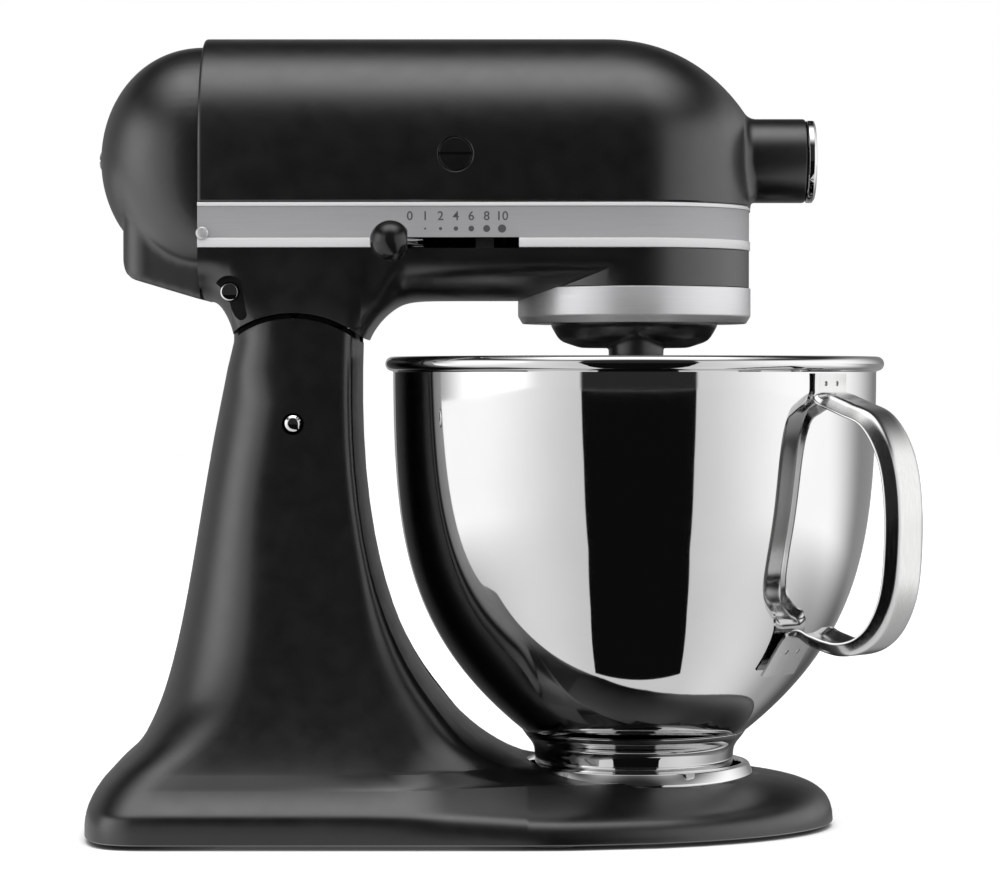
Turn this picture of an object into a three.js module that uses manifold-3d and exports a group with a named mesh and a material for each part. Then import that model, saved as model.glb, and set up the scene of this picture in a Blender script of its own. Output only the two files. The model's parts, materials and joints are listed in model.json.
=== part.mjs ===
// A tilt-head stand mixer, in millimetres, +Z up, hub to +X, speed lever to -Y.
// The pedestal carries the head on a hinge pin; the bowl twists into a clamp plate on the base.
import * as THREE from 'three';
import { mergeVertices } from 'three/addons/utils/BufferGeometryUtils.js';
import Module from 'manifold-3d';

const wasm = await Module();
wasm.setup();

// ---- clearances and walls ----
const GAP = 0.3;               // between pieces that touch
const CASTING_WALL = 5;        // housings and pedestal
const COVER_WALL = 3;          // rear end cover
const ROUND = 32;              // sides of a large round piece
const SMALL_ROUND = 16;        // sides of a shaft or screw

// ---- driving positions ----
const FLOOR_GAP = 2;           // skirt of the base above the floor
const BOWL_X = 58;             // vertical axis of bowl and planetary
const PIN_X = -92.7;           // hinge pin of the head
const PIN_Z = 180.9;
const DRIVE_Z = 298.4;         // armature, worm and attachment hub
const HEAD_REAR = -134;        // joint between head and rear end cover

// ---- pedestal ----
const BASE_REAR = -184.5;
const BASE_FRONT = 147.5;
const BASE_HALF = 88.7;        // half width of the base
const BASE_NOSE_X = 10;        // where the base starts to round to its front
const BASE_DECK = 24.5;        // height of the deck round the bowl
const COLUMN_TOP_R = 46;       // top of the column, round the hinge pin
const COLUMN_HALF = 45;        // half width of the column's top
const COLUMN_FRONT = -62.8;
const COLUMN_BACK = -120.7;
const SLOT_HALF = 17.3;        // half width of the slot for the head's tongue
const SLOT_FRONT = 22.5;       // the slot's ends, from the hinge pin
const SLOT_BACK = 25.4;
const BOSS_R = 12;             // bosses of the hinge pin
const FOOT_R = 11.5;
const FOOT_H = 3;
const FOOT_STEM_R = 4;
const FOOT_STEM_H = 6;

// ---- hinge and lock ----
const PIN_R = 4.5;
const PIN_HALF = 47.2;
const TONGUE_HALF = 16;
const TONGUE_R = 18;
const TONGUE_FROM = 82;        // the tongue's neck, in degrees round the pin
const TONGUE_TO = 64;
const HEAD_GAP = 2.4;          // between column top and head
const LOCK_X = -120.4;
const LOCK_Z = 238.6;
const LOCK_R = 4;
const LOCK_ARM = 27;

// ---- head ----
const HEAD_REAR_HALF = 49.5;   // half width at the rear
const HEAD_R = 52.2;           // round front, about the bowl's axis
const HEAD_TOP = 352.8;
const CROWN_Z = 300;           // where the crown springs from the sides
const BAND_LOW = 257.8;
const BAND_HIGH = 277.5;
const BAND_T = 2;
const SEAM_Z = 257.5;          // lower housing below, upper housing above
const HULL_LOW = 235.6;        // underside of the lower housing
const HUB_R = 18.8;
const HUB_FACE = 134.5;
const HUB_BORE = 11;
const HUB_COVER_T = 4.6;
const NOSE_FLAT_END = 45;      // where the top starts to fall to the nose

// ---- rear end cover ----
const COVER_DEPTH = 47.2;
const COVER_STEP = 3.6;        // stands this much inside the head's surface
const TAIL_REAR = -172.4;
const TAIL_LOW = 236;

// ---- planetary ----
const RING_TEETH = 36;
const PINION_TEETH = 14;
const MODULE = 2;
const CENTER_TEETH = 38;
const DRIVE_TEETH = 12;
const WHEEL_TEETH = 20;
const WORM_MODULE = 1.5;
const WORM_R = 6;              // pitch radius of the worm
const WORM_STARTS = 2;
const BEVEL_TEETH = 16;
const DRIP_LOW = 225.3;
const DRIP_TOP = 241.1;
const PLANET_R = 37.5;
const PLANET_LOW = 214.5;
const PLANET_TOP = 227;
const SHAFT_R = 5;
const BEATER_SHAFT_R = 6.2;

// ---- bowl ----
const RIM_R = 111.8;
const RIM_Z = 207.3;
const RIM_BEAD = 3.2;
const BOWL_R = 108.3;
const BOWL_WALL = 1;
const BOWL_FOOT_R = 50.2;
const BOWL_LOW = 41.4;
const FOOT_WALL = 2;
const CLAMP_R = 53.8;
const WELL_R = 50.4;
const WELL_Z = 12;
const HANDLE_ANGLE = -42 * Math.PI / 180;
const HANDLE_OUT = 40.2;       // the handle's outer face, from the bowl's wall
const HANDLE_WIDTH = 25;
const HANDLE_T = 2;

// ---- worked out ----
const SUN_TO_PLANET = MODULE * (RING_TEETH - PINION_TEETH) / 2;
const DRIVE_SPAN = MODULE * (CENTER_TEETH + DRIVE_TEETH) / 2;
const WHEEL_R = WORM_MODULE * WHEEL_TEETH / 2;
const WHEEL_Y = WORM_R + WHEEL_R;
const WHEEL_X = BOWL_X - Math.sqrt(DRIVE_SPAN ** 2 - WHEEL_Y ** 2);
const BEVEL_R = BEVEL_TEETH * 1.75 / 2;
const HANDLE_REACH = BOWL_R + HANDLE_OUT;
const HANDLE_FRONT = BOWL_X + HANDLE_REACH * Math.cos(HANDLE_ANGLE)
  - HANDLE_WIDTH / 2 * Math.sin(HANDLE_ANGLE);
const CENTRE_SHIFT = -(BASE_REAR + HANDLE_FRONT) / 2;

// ---- solids ----
function signedVolume(position, index) {
  let sum = 0;
  for (let i = 0; i < index.length; i += 3) {
    const [a, b, c] = [index[i] * 3, index[i + 1] * 3, index[i + 2] * 3];
    sum += position[a] * (position[b + 1] * position[c + 2] - position[b + 2] * position[c + 1]);
    sum += position[a + 1] * (position[b + 2] * position[c] - position[b] * position[c + 2]);
    sum += position[a + 2] * (position[b] * position[c + 1] - position[b + 1] * position[c]);
  }
  return sum;
}

function solid(geometry) {
  const bare = geometry.clone();
  bare.deleteAttribute('normal');
  bare.deleteAttribute('uv');
  const merged = mergeVertices(bare, 1e-4);
  const vertProperties = new Float32Array(merged.attributes.position.array);
  const triVerts = new Uint32Array(merged.index.array);
  if (signedVolume(vertProperties, triVerts) < 0) {
    for (let i = 0; i < triVerts.length; i += 3) {
      [triVerts[i], triVerts[i + 1]] = [triVerts[i + 1], triVerts[i]];
    }
  }
  return new wasm.Manifold(new wasm.Mesh({ numProp: 3, vertProperties, triVerts }));
}

const join = (first, ...rest) => rest.reduce((whole, piece) => whole.add(piece), first);
const cut = (first, ...rest) => rest.reduce((whole, piece) => whole.subtract(piece), first);

function toAxis(geometry, axis) {
  if (axis === 'z') geometry.rotateX(Math.PI / 2);
  if (axis === 'x') geometry.rotateZ(-Math.PI / 2);
  return geometry;
}

// Where a pair [a, b] across an axis lies: y,z for x; x,z for y; x,y for z.
function across(axis, [a, b], along) {
  if (axis === 'x') return [along, a, b];
  if (axis === 'y') return [a, along, b];
  return [a, b, along];
}

function rod(axis, radius, from, to, centre = [0, 0], sides = SMALL_ROUND, endRadius = radius) {
  const geometry = new THREE.CylinderGeometry(endRadius, radius, to - from, sides);
  toAxis(geometry, axis);
  return solid(geometry.translate(...across(axis, centre, (from + to) / 2)));
}

function box(x0, x1, y0, y1, z0, z1) {
  const geometry = new THREE.BoxGeometry(x1 - x0, y1 - y0, z1 - z0);
  return solid(geometry.translate((x0 + x1) / 2, (y0 + y1) / 2, (z0 + z1) / 2));
}

function ball(radius, centre, sides = SMALL_ROUND) {
  return solid(new THREE.SphereGeometry(radius, sides, sides / 2).translate(...centre));
}

// A closed profile of [radius, height along the axis] turned round that axis.
function turned(axis, profile, centre = [0, 0], sides = ROUND) {
  const points = profile.map(([r, h]) => new THREE.Vector2(r, h));
  if (profile[0][0] > 0) points.push(points[0].clone());
  const geometry = toAxis(new THREE.LatheGeometry(points, sides), axis);
  return solid(geometry.translate(...across(axis, centre, 0)));
}

// An outline extruded along an axis: [y, z] along x, [x, z] along y, [x, y] along z.
function prism(axis, outline, from, to, holes = []) {
  const shape = new THREE.Shape(outline.map(([a, b]) => new THREE.Vector2(a, b)));
  shape.holes = holes.map((hole) => new THREE.Path(hole.map(([a, b]) => new THREE.Vector2(a, b))));
  const geometry = new THREE.ExtrudeGeometry(shape, { depth: to - from, bevelEnabled: false });
  geometry.translate(0, 0, from);
  if (axis === 'y') geometry.rotateX(Math.PI / 2).scale(1, -1, 1);
  if (axis === 'x') {
    const turn = new THREE.Matrix4();
    turn.makeBasis(new THREE.Vector3(0, 1, 0), new THREE.Vector3(0, 0, 1), new THREE.Vector3(1, 0, 0));
    geometry.applyMatrix4(turn);
  }
  return solid(geometry);
}

// Rings of points joined side by side; the two end rings are flat across the axis and closed.
function loft(rings, axis) {
  const count = rings[0].length;
  const position = [];
  const index = [];
  rings.forEach((ring) => ring.forEach((point) => position.push(...point)));
  for (let i = 0; i + 1 < rings.length; i += 1) {
    for (let j = 0; j < count; j += 1) {
      const [a, b] = [i * count + j, i * count + (j + 1) % count];
      index.push(a, b, b + count, a, b + count, a + count);
    }
  }
  const drop = { x: 0, y: 1, z: 2 }[axis];
  const lid = (ring, start, flip) => {
    const flat = ring.map((p) => new THREE.Vector2(...p.filter((_, k) => k !== drop)));
    THREE.ShapeUtils.triangulateShape(flat, []).forEach(([a, b, c]) => {
      index.push(...(flip ? [start + c, start + b, start + a] : [start + a, start + b, start + c]));
    });
  };
  const turn = (axis === 'y') !== (THREE.ShapeUtils.isClockWise(
    rings[0].map((p) => new THREE.Vector2(...p.filter((_, k) => k !== drop)))));
  lid(rings[0], 0, !turn);
  lid(rings[rings.length - 1], (rings.length - 1) * count, turn);
  const geometry = new THREE.BufferGeometry();
  geometry.setAttribute('position', new THREE.Float32BufferAttribute(position, 3));
  geometry.setIndex(index);
  return solid(orient(geometry, count, rings.length));
}

// Turns the lids the way the sides run, whichever way the outline was drawn.
function orient(geometry, count, ringCount) {
  const index = Array.from(geometry.index.array);
  const sides = (ringCount - 1) * count * 6;
  const edges = new Set();
  for (let i = 0; i < sides; i += 3) {
    [[0, 1], [1, 2], [2, 0]].forEach(([a, b]) => edges.add(`${index[i + a]},${index[i + b]}`));
  }
  const clashes = (start, end) => {
    for (let i = start; i < end; i += 3) {
      for (const [a, b] of [[0, 1], [1, 2], [2, 0]]) {
        if (edges.has(`${index[i + a]},${index[i + b]}`)) return true;
      }
    }
    return false;
  };
  const lidLength = (index.length - sides) / 2;
  [sides, sides + lidLength].forEach((start) => {
    if (clashes(start, start + lidLength)) {
      for (let i = start; i < start + lidLength; i += 3) {
        [index[i], index[i + 1]] = [index[i + 1], index[i]];
      }
    }
  });
  geometry.setIndex(index);
  return geometry;
}

const mirrorHalf = (half) => {
  const inner = half.filter(([, y]) => Math.abs(y) > 1e-6).map(([x, y]) => [x, -y]).reverse();
  return [...half, ...inner];
};

// A plane curve of [across, height] pairs, read at a height.
function curve(points) {
  return new THREE.CubicBezierCurve(...points.map(([a, b]) => new THREE.Vector2(a, b)));
}

function atHeight(bezier, height) {
  let [low, high] = [0, 1];
  const rising = bezier.v3.y > bezier.v0.y;
  for (let i = 0; i < 40; i += 1) {
    const middle = (low + high) / 2;
    const above = bezier.getPoint(middle).y > height;
    if (above === rising) high = middle;
    else low = middle;
  }
  return bezier.getPoint(low).x;
}

const circle = (radius, centre, sides) => Array.from({ length: sides }, (_, i) => {
  const angle = 2 * Math.PI * i / sides;
  return [centre[0] + radius * Math.cos(angle), centre[1] + radius * Math.sin(angle)];
});

// ---- pedestal ----
const SHOULDER_Z = 14.5;
const sideCurve = curve([[COLUMN_HALF, 217], [46, 150], [58, 40], [BASE_HALF - 0.7, SHOULDER_Z]]);
const backCurve = curve([[COLUMN_BACK, 218], [-138.2, 156], [-140.8, 73.6], [-163, 38]]);
const heelCurve = curve([[-163, 38], [-176, 29.5], [BASE_REAR, 18], [BASE_REAR, 6]]);
const frontCurve = curve([[COLUMN_FRONT, 216], [-66, 130], [-50, 40], [26, 28]]);
const toeCurve = curve([[0, 3], [0, 12], [9, 17], [38, BASE_DECK]]);

function quarter(x0, x1, half, exponent, steps) {
  return Array.from({ length: steps }, (_, i) => {
    const angle = Math.PI / 2 * i / steps;
    const power = 2 / exponent;
    return [x0 + (x1 - x0) * (1 - Math.cos(angle) ** power), half * Math.sin(angle) ** power];
  });
}

// The base stands upright to its shoulder, and sweeps up from there into the column.
function pedestalHalf(z) {
  return z > SHOULDER_Z ? atHeight(sideCurve, Math.min(z, 216.9)) : BASE_HALF - 0.7 * z / SHOULDER_Z;
}

// The pedestal's plan at a height, drawn in by a wall; from the rear round to the front.
function pedestalPlan(z, wall) {
  const height = Math.min(z, 217);
  const low = Math.max(height, 3);
  const half = pedestalHalf(low) - wall;
  const rear = (height > 38 ? atHeight(backCurve, height) : atHeight(heelCurve, Math.max(height, 6))) + wall;
  const share = Math.max(0, Math.min(1, (height - 8) / 110));
  const round = 40 - 14 * height / 217;
  const exponent = 4 - share;
  const outline = quarter(rear, rear + round, half, exponent, 5);
  outline.push([rear + round, half]);
  const deck = height <= BASE_DECK + 0.01;
  const front = deck ? 0 : atHeight(frontCurve, height) - wall;
  const crown = 4.5 + 18 * Math.max(0, 1 - (height - 28) / 34) ** 2;
  const crease = deck ? BASE_NOSE_X : front - crown;
  outline.push([rear + round + (crease - rear - round) * 0.5, half]);
  const inset = deck ? atHeight(toeCurve, low) : 0;
  const tip = deck ? BASE_FRONT - inset - wall : front;
  const steps = 6;
  for (let i = 0; i <= steps; i += 1) {
    const y = deck ? Math.cos(Math.PI / 2 * i / steps) : 1 - i / steps;
    const x = deck ? Math.sin(Math.PI / 2 * i / steps) : 1 - y * y;
    outline.push([crease + (tip - crease) * x, i === steps ? 0 : half * y]);
  }
  return mirrorHalf(outline).map(([x, y]) => [x, y, z]);
}

const baseLevels = [FLOOR_GAP, 8, SHOULDER_Z, 19, BASE_DECK];
const columnLevels = [28.5, 37, 52, 76, 110, 155, 217, 232];

const footPlaces = [[-158, -60], [-158, 60], [20, -68], [20, 68], [124, 0]];

function pedestal() {
  const outer = loft([...baseLevels, ...columnLevels].map((z) => pedestalPlan(z, 0)), 'z');
  const low = [-1, 8, 18];
  const baseHollow = cut(
    loft(low.map((z) => pedestalPlan(z, CASTING_WALL)), 'z'),
    rod('z', WELL_R + CASTING_WALL + 2, WELL_Z - CASTING_WALL, BASE_DECK, [BOWL_X, 0], ROUND),
    ...footPlaces.map((place) => rod('z', FOOT_R, FOOT_H + GAP, BASE_DECK, place)),
  );
  const inner = [16, 44, 70, 120, 217, 224];
  const columnHollow = loft(inner.map((z) => pedestalPlan(Math.max(z, 44), CASTING_WALL)
    .map(([x, y]) => [x, y, z])), 'z');
  const crownTop = COLUMN_TOP_R - CASTING_WALL;
  const under = columnHollow.intersect(join(
    rod('y', crownTop, -90, 90, [PIN_X, PIN_Z], ROUND),
    box(BASE_REAR, 40, -90, 90, 0, PIN_Z),
  ));
  const above = cut(
    box(BASE_REAR, 0, -90, 90, PIN_Z, 260),
    rod('y', COLUMN_TOP_R, -91, 91, [PIN_X, PIN_Z], 48),
  );
  const slot = box(PIN_X - SLOT_BACK, PIN_X + SLOT_FRONT, -SLOT_HALF, SLOT_HALF, 150, 240);
  const shell = cut(outer, above, baseHollow, under, slot);
  const bossLength = COLUMN_HALF - 2;
  const bosses = [-1, 1].map((side) => rod('y', BOSS_R, ...(side < 0
    ? [-bossLength, -SLOT_HALF] : [SLOT_HALF, bossLength]), [PIN_X, PIN_Z]));
  return cut(
    join(shell, ...bosses),
    rod('y', PIN_R + GAP, -60, 60, [PIN_X, PIN_Z]),
    rod('z', 3 + GAP, PIN_Z + 30, PIN_Z + 60, [PIN_X, -29]),
    rod('z', CLAMP_R + GAP, BASE_DECK - 3, 40, [BOWL_X, 0], ROUND),
    rod('z', WELL_R, WELL_Z, 40, [BOWL_X, 0], ROUND),
    ...footPlaces.map((place) => rod('z', FOOT_STEM_R + GAP, 0, FOOT_H + FOOT_STEM_H + 1, place)),
    ...screwPlaces.map((place) => rod('z', 2.2 + GAP, WELL_Z - 4, WELL_Z + 5, place)),
  );
}

function foot([x, y]) {
  return turned('z', [
    [0, 0], [FOOT_R - 1, 0], [FOOT_R, 1], [FOOT_R, FOOT_H], [FOOT_STEM_R, FOOT_H],
    [FOOT_STEM_R, FOOT_H + FOOT_STEM_H], [0, FOOT_H + FOOT_STEM_H],
  ], [x, y], SMALL_ROUND);
}

// ---- clamp plate on the base ----
const screwCircle = 30;
const screwPlaces = [45, 135, 225, 315].map((degrees) => {
  const angle = degrees * Math.PI / 180;
  return [BOWL_X + screwCircle * Math.cos(angle), screwCircle * Math.sin(angle)];
});
const PLATE_T = 2;

function clampPlate() {
  const floorZ = WELL_Z + GAP;
  const seat = BASE_DECK - 3 + GAP;
  const wellWall = WELL_R - GAP;
  const bowlWell = wellWall - PLATE_T;
  const dish = turned('z', [
    [0, floorZ], [wellWall, floorZ], [wellWall, seat], [CLAMP_R, seat], [CLAMP_R, seat + 1.5],
    [WELL_R + 1.2, BASE_DECK + 4.2], [WELL_R - 0.4, BASE_DECK + 4.6], [bowlWell + 0.4, BASE_DECK + 3.8],
    [bowlWell, BASE_DECK + 2], [bowlWell, floorZ + PLATE_T], [0, floorZ + PLATE_T],
  ], [BOWL_X, 0]);
  const lips = [0, 1, 2, 3].map((i) => sector(bowlWell - 2.2, bowlWell + 1, i * Math.PI / 2 + 0.5, 0.5,
    LIP_LOW, LIP_LOW + 2));
  return cut(join(dish, ...lips), ...screwPlaces.map((place) => rod('z', 2.2 + GAP, 0, 40, place)));
}

// A piece of a ring about the bowl's axis.
function sector(inner, outer, start, sweep, low, high) {
  const steps = 5;
  const arc = (radius, from, to) => Array.from({ length: steps + 1 }, (_, i) => {
    const angle = from + (to - from) * i / steps;
    return [BOWL_X + radius * Math.cos(angle), radius * Math.sin(angle)];
  });
  return prism('z', [...arc(outer, start, start + sweep), ...arc(inner, start + sweep, start)], low, high);
}

const LIP_LOW = WELL_Z + 8;

function clampScrew([x, y]) {
  const head = WELL_Z + PLATE_T + 2 * GAP;
  return join(
    rod('z', 2.2, WELL_Z - 3, head, [x, y], 16),
    rod('z', 4, head, head + 1.6, [x, y], 16, 3),
  );
}

// ---- hinge ----
function hingePin() {
  return turned('y', [
    [0, -PIN_HALF], [PIN_R - 1, -PIN_HALF + 0.3], [PIN_R, -PIN_HALF + 1.2],
    [PIN_R, PIN_HALF - 1.2], [PIN_R - 1, PIN_HALF - 0.3], [0, PIN_HALF],
  ], [PIN_X, PIN_Z], SMALL_ROUND);
}

function heightScrew() {
  const top = PIN_Z + COLUMN_TOP_R + 0.9;
  return cut(
    rod('z', 3, top - 9, top, [PIN_X, -29], 16),
    box(PIN_X - 0.5, PIN_X + 0.5, -33, -25, top - 1, top + 1),
  );
}

// ---- lock ----
const lockAngle = Math.atan2(PIN_Z - LOCK_Z, PIN_X - LOCK_X);
const LOCK_SWING = 35 * Math.PI / 180;

// The room that the finger of the lock shaft sweeps, [x, z].
function lockSweep() {
  const reach = Math.hypot(LOCK_X - PIN_X, LOCK_Z - PIN_Z) - COLUMN_TOP_R + 2;
  const polar = (radius, angle) => [LOCK_X + radius * Math.cos(angle), LOCK_Z + radius * Math.sin(angle)];
  const spread = 0.24;
  const points = [polar(3.6, lockAngle - Math.PI / 2)];
  for (let i = 0; i <= 6; i += 1) {
    points.push(polar(reach, lockAngle - spread + (LOCK_SWING + 2 * spread) * i / 6));
  }
  points.push(polar(3.6, lockAngle + LOCK_SWING + Math.PI / 2));
  return points;
}

// ---- lower housing ----
const headHalf = (x, radius = HEAD_R) => {
  const taper = (x - HEAD_REAR) / (BOWL_X - HEAD_REAR);
  if (x <= BOWL_X) return HEAD_REAR_HALF + (HEAD_R - HEAD_REAR_HALF) * taper + radius - HEAD_R;
  return Math.sqrt(Math.max(0, radius ** 2 - (x - BOWL_X) ** 2));
};

// The head's plan: straight sides, round front.
function headPlan(inset, rear = HEAD_REAR) {
  const radius = HEAD_R - inset;
  const half = [[rear, headHalf(rear, radius)], [BOWL_X, radius]];
  const steps = 12;
  for (let i = 1; i < steps; i += 1) {
    const angle = Math.PI / 2 * (1 - i / steps);
    half.push([BOWL_X + radius * Math.cos(angle), radius * Math.sin(angle)]);
  }
  half.push([BOWL_X + radius, 0]);
  return mirrorHalf(half);
}

function hullSection(x, half) {
  const steps = 8;
  const points = [[half, SEAM_Z], [half, SEAM_Z - 3]];
  for (let i = 1; i <= steps; i += 1) {
    const angle = Math.PI / 2 * i / steps;
    const y = half * Math.cos(angle) ** (2 / 2.3);
    const z = SEAM_Z - 3 - (SEAM_Z - 3 - HULL_LOW) * Math.sin(angle) ** (2 / 2.3);
    points.push([i === steps ? 0 : y, z]);
  }
  return mirrorPairs(points).map(([y, z]) => [x, y, z]);
}

// Mirrors [y, z] pairs that end on the middle plane.
function mirrorPairs(points) {
  const inner = points.filter(([y]) => Math.abs(y) > 1e-6).map(([y, z]) => [-y, z]).reverse();
  return [...points, ...inner];
}

const neckFront = curve([[-20, 242], [-42, 238], [-58, 232], [-63.3, 214]]);
const neckBack = curve([[-139, 242], [-126, 236], [-122, 226], [-119.5, 214]]);

function neckPlan(z) {
  const half = 46.5 + Math.max(0, z - 226) * 0.09;
  const rear = atHeight(neckBack, z);
  const front = atHeight(neckFront, z);
  const outline = [...quarter(rear, rear + 34, half, 2.5, 6), [rear + 34, half]];
  const corner = quarter(front, front - 9, half, 3, 4).reverse();
  return mirrorHalf([...outline, [front - 9, half], ...corner]).map(([x, y]) => [x, y, z]);
}

function lowerHousing() {
  const hull = loft([HEAD_REAR, BOWL_X].map((x) => hullSection(x, headHalf(x) - 0.7)), 'x');
  const prow = rod('z', HEAD_R - 0.7, DRIP_TOP + GAP, SEAM_Z, [BOWL_X, 0], 40);
  const neck = loft([214, 219, 224, 229, 234, 238, 241.9].map((z) => neckPlan(z)), 'z');
  const ringSpace = rod('z', HEAD_R + GAP, 200, DRIP_TOP + GAP, [BOWL_X, 0], 40);
  const columnSpace = rod('y', COLUMN_TOP_R + HEAD_GAP, -90, 90, [PIN_X, PIN_Z], 48);
  const insideRear = HEAD_REAR + 4;
  const inside = prism('z', headPlan(CASTING_WALL + 4, insideRear), DRIP_TOP + 4, 270);
  const tongue = (radius, sides) => {
    const arc = [];
    for (let i = 0; i <= sides; i += 1) {
      const angle = (TONGUE_FROM + (360 - TONGUE_FROM + TONGUE_TO) * i / sides) * Math.PI / 180;
      arc.push([PIN_X + radius * Math.cos(angle), PIN_Z + radius * Math.sin(angle)]);
    }
    const reach = COLUMN_TOP_R + HEAD_GAP + 9;
    [TONGUE_TO, TONGUE_FROM].forEach((degrees) => {
      const angle = degrees * Math.PI / 180;
      arc.push([PIN_X + reach * Math.cos(angle), PIN_Z + reach * Math.sin(angle)]);
    });
    return prism('y', arc, -TONGUE_HALF, TONGUE_HALF);
  };
  const shell = join(cut(join(hull, neck), columnSpace, ringSpace), prow);
  const boss = rod('z', 14, DRIP_TOP + 2, DRIP_TOP + 15, [BOWL_X, 0]);
  const wheelBoss = rod('z', 9, DRIP_TOP + 2, DRIP_TOP + 16, [WHEEL_X, WHEEL_Y]);
  return cut(
    join(cut(shell, inside), boss, wheelBoss, tongue(TONGUE_R, 18)),
    rod('y', PIN_R + GAP, -60, 60, [PIN_X, PIN_Z]),
    rod('z', 8 + GAP, 200, 280, [BOWL_X, 0]),
    rod('z', 4 + GAP, DRIP_TOP + 7, 280, [WHEEL_X, WHEEL_Y]),
    rod('y', LOCK_R + GAP, -60, 60, [LOCK_X, LOCK_Z]),
    prism('y', lockSweep(), 22, 30),
    rod('y', LOCK_R + 3, -60, -42.5, [LOCK_X, LOCK_Z]),
    rod('z', 3.4, 200, HULL_LOW + 2.2, [-6.8, 0], 16),
    rod('z', 1.8 + GAP, 200, HULL_LOW + 9, [-6.8, 0], 16),
  );
}

function underScrew() {
  return join(
    rod('z', 3.1, HULL_LOW + 0.1, HULL_LOW + 1.9, [-6.8, 0], 16),
    rod('z', 1.8, HULL_LOW + 1.9, HULL_LOW + 8.5, [-6.8, 0], 16),
  );
}

// ---- upper housing ----
const noseCurve = curve([[NOSE_FLAT_END, HEAD_TOP], [74, HEAD_TOP], [96, 338], [110, 316]]);

function noseTop(x) {
  if (x <= NOSE_FLAT_END) return HEAD_TOP;
  const flipped = new THREE.CubicBezierCurve(
    ...[noseCurve.v0, noseCurve.v1, noseCurve.v2, noseCurve.v3].map((v) => new THREE.Vector2(v.y, v.x)));
  return atHeight(flipped, Math.min(x, 109.9));
}

function crownSection(x, wall, foot) {
  const half = Math.max(headHalf(x, HEAD_R - wall), 2);
  const top = noseTop(x) - wall;
  const steps = 8;
  const points = [[half, foot]];
  for (let i = 0; i <= steps; i += 1) {
    const angle = Math.PI / 2 * i / steps;
    points.push([i === steps ? 0 : half * Math.cos(angle) ** 0.98,
      CROWN_Z + (top - CROWN_Z) * Math.sin(angle) ** 0.98]);
  }
  return mirrorPairs(points).map(([y, z]) => [x, y, z]);
}

const skirtInset = BAND_T + GAP + 0.4;

function upperHousing() {
  const front = BOWL_X + HEAD_R - 0.1;
  const stations = [HEAD_REAR, NOSE_FLAT_END, 60, 74, 86, 95, 102, 107, front];
  const shell = loft(stations.map((x) => crownSection(x, 0, BAND_HIGH + GAP)), 'x');
  const skirt = prism('z', headPlan(skirtInset), SEAM_Z + GAP, BAND_HIGH + 1);
  const hub = turned('x', [
    [0, 80], [20.3, 80], [20.3, 110.5], [HUB_R, 114], [HUB_R, HUB_FACE - 0.6],
    [HUB_R - 0.6, HUB_FACE], [0, HUB_FACE],
  ], [0, DRIVE_Z], 24);
  const innerFront = BOWL_X + HEAD_R - CASTING_WALL - 0.3;
  const innerStations = [HEAD_REAR - 1, NOSE_FLAT_END - 4, 64, 82, 95, innerFront];
  const inside = join(
    loft(innerStations.map((x) => crownSection(x, CASTING_WALL, BAND_HIGH - 2)), 'x'),
    prism('z', headPlan(skirtInset + CASTING_WALL - 1, HEAD_REAR - 1), SEAM_Z - 1, BAND_HIGH),
  );
  const ears = [-1, 1].map((side) => box(HUB_FACE - 1, HINGE_X + 1.6,
    side < 0 ? -6 : 3.4, side < 0 ? -3.4 : 6, HINGE_Z - 1.6, HINGE_Z + 1.2));
  return cut(
    join(cut(join(shell, skirt, hub), inside), ...ears),
    rod('x', HUB_BORE, 90, HUB_FACE + 1, [0, DRIVE_Z]),
    rod('y', 7.6, -60, 60, [BRUSH_X, DRIVE_Z]),
    rod('y', 1 + 0.1, -20, 20, [HINGE_X, HINGE_Z], 12),
    rod('y', 3 + GAP, 5, 40, [KNOB_X, DRIVE_Z], 16),
    box(SLOT_FROM, SLOT_TO, -60, -30, SEAM_Z - 1, SLOT_TOP),
    ...[-1, 1].map((side) => rod('y', 1.5 + GAP, side < 0 ? -60 : 30, side < 0 ? -30 : 60,
      [TRIM_SCREW_X, TRIM_SCREW_Z], 12)),
  );
}

// ---- trim band ----
const SLOT_FROM = -43.6;
const SLOT_TO = 6;
const SLOT_TOP = 262.2;
const TRIM_SCREW_X = -131.8;
const TRIM_SCREW_Z = 264;

function trimBand() {
  const outline = headPlan(0.2);
  const inner = headPlan(0.2 + BAND_T, HEAD_REAR - 5);
  const band = prism('z', outline, BAND_LOW, BAND_HIGH);
  return cut(
    cut(band, prism('z', inner, BAND_LOW - 1, BAND_HIGH + 1)),
    box(SLOT_FROM, SLOT_TO, -60, -30, BAND_LOW - 1, SLOT_TOP),
    rod('y', 1.5 + GAP, -60, 60, [TRIM_SCREW_X, TRIM_SCREW_Z], 12),
  );
}

function trimScrew(side) {
  const face = headHalf(TRIM_SCREW_X) - 0.2;
  const profile = [[0, face - 7], [1.5, face - 7], [1.5, face + GAP], [3, face + GAP],
    [2.4, face + 1.6], [0, face + 1.9]];
  const screw = profile.map(([r, h]) => [r, side * h]);
  return turned('y', screw, [TRIM_SCREW_X, TRIM_SCREW_Z], 16);
}

// ---- speed lever ----
const LEVER_LOW = SEAM_Z + 0.9;
const LEVER_HIGH = SLOT_TOP - 1.2;
const LEVER_X = -42.6;
const LEVER_W = 7;
const SPEED_KNOB = [-49.3, -72];
const SPEED_KNOB_R = 8.8;
const SPEED_KNOB_FLAT = 7.4;     // the flat on the knob's side, from its centre

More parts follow.
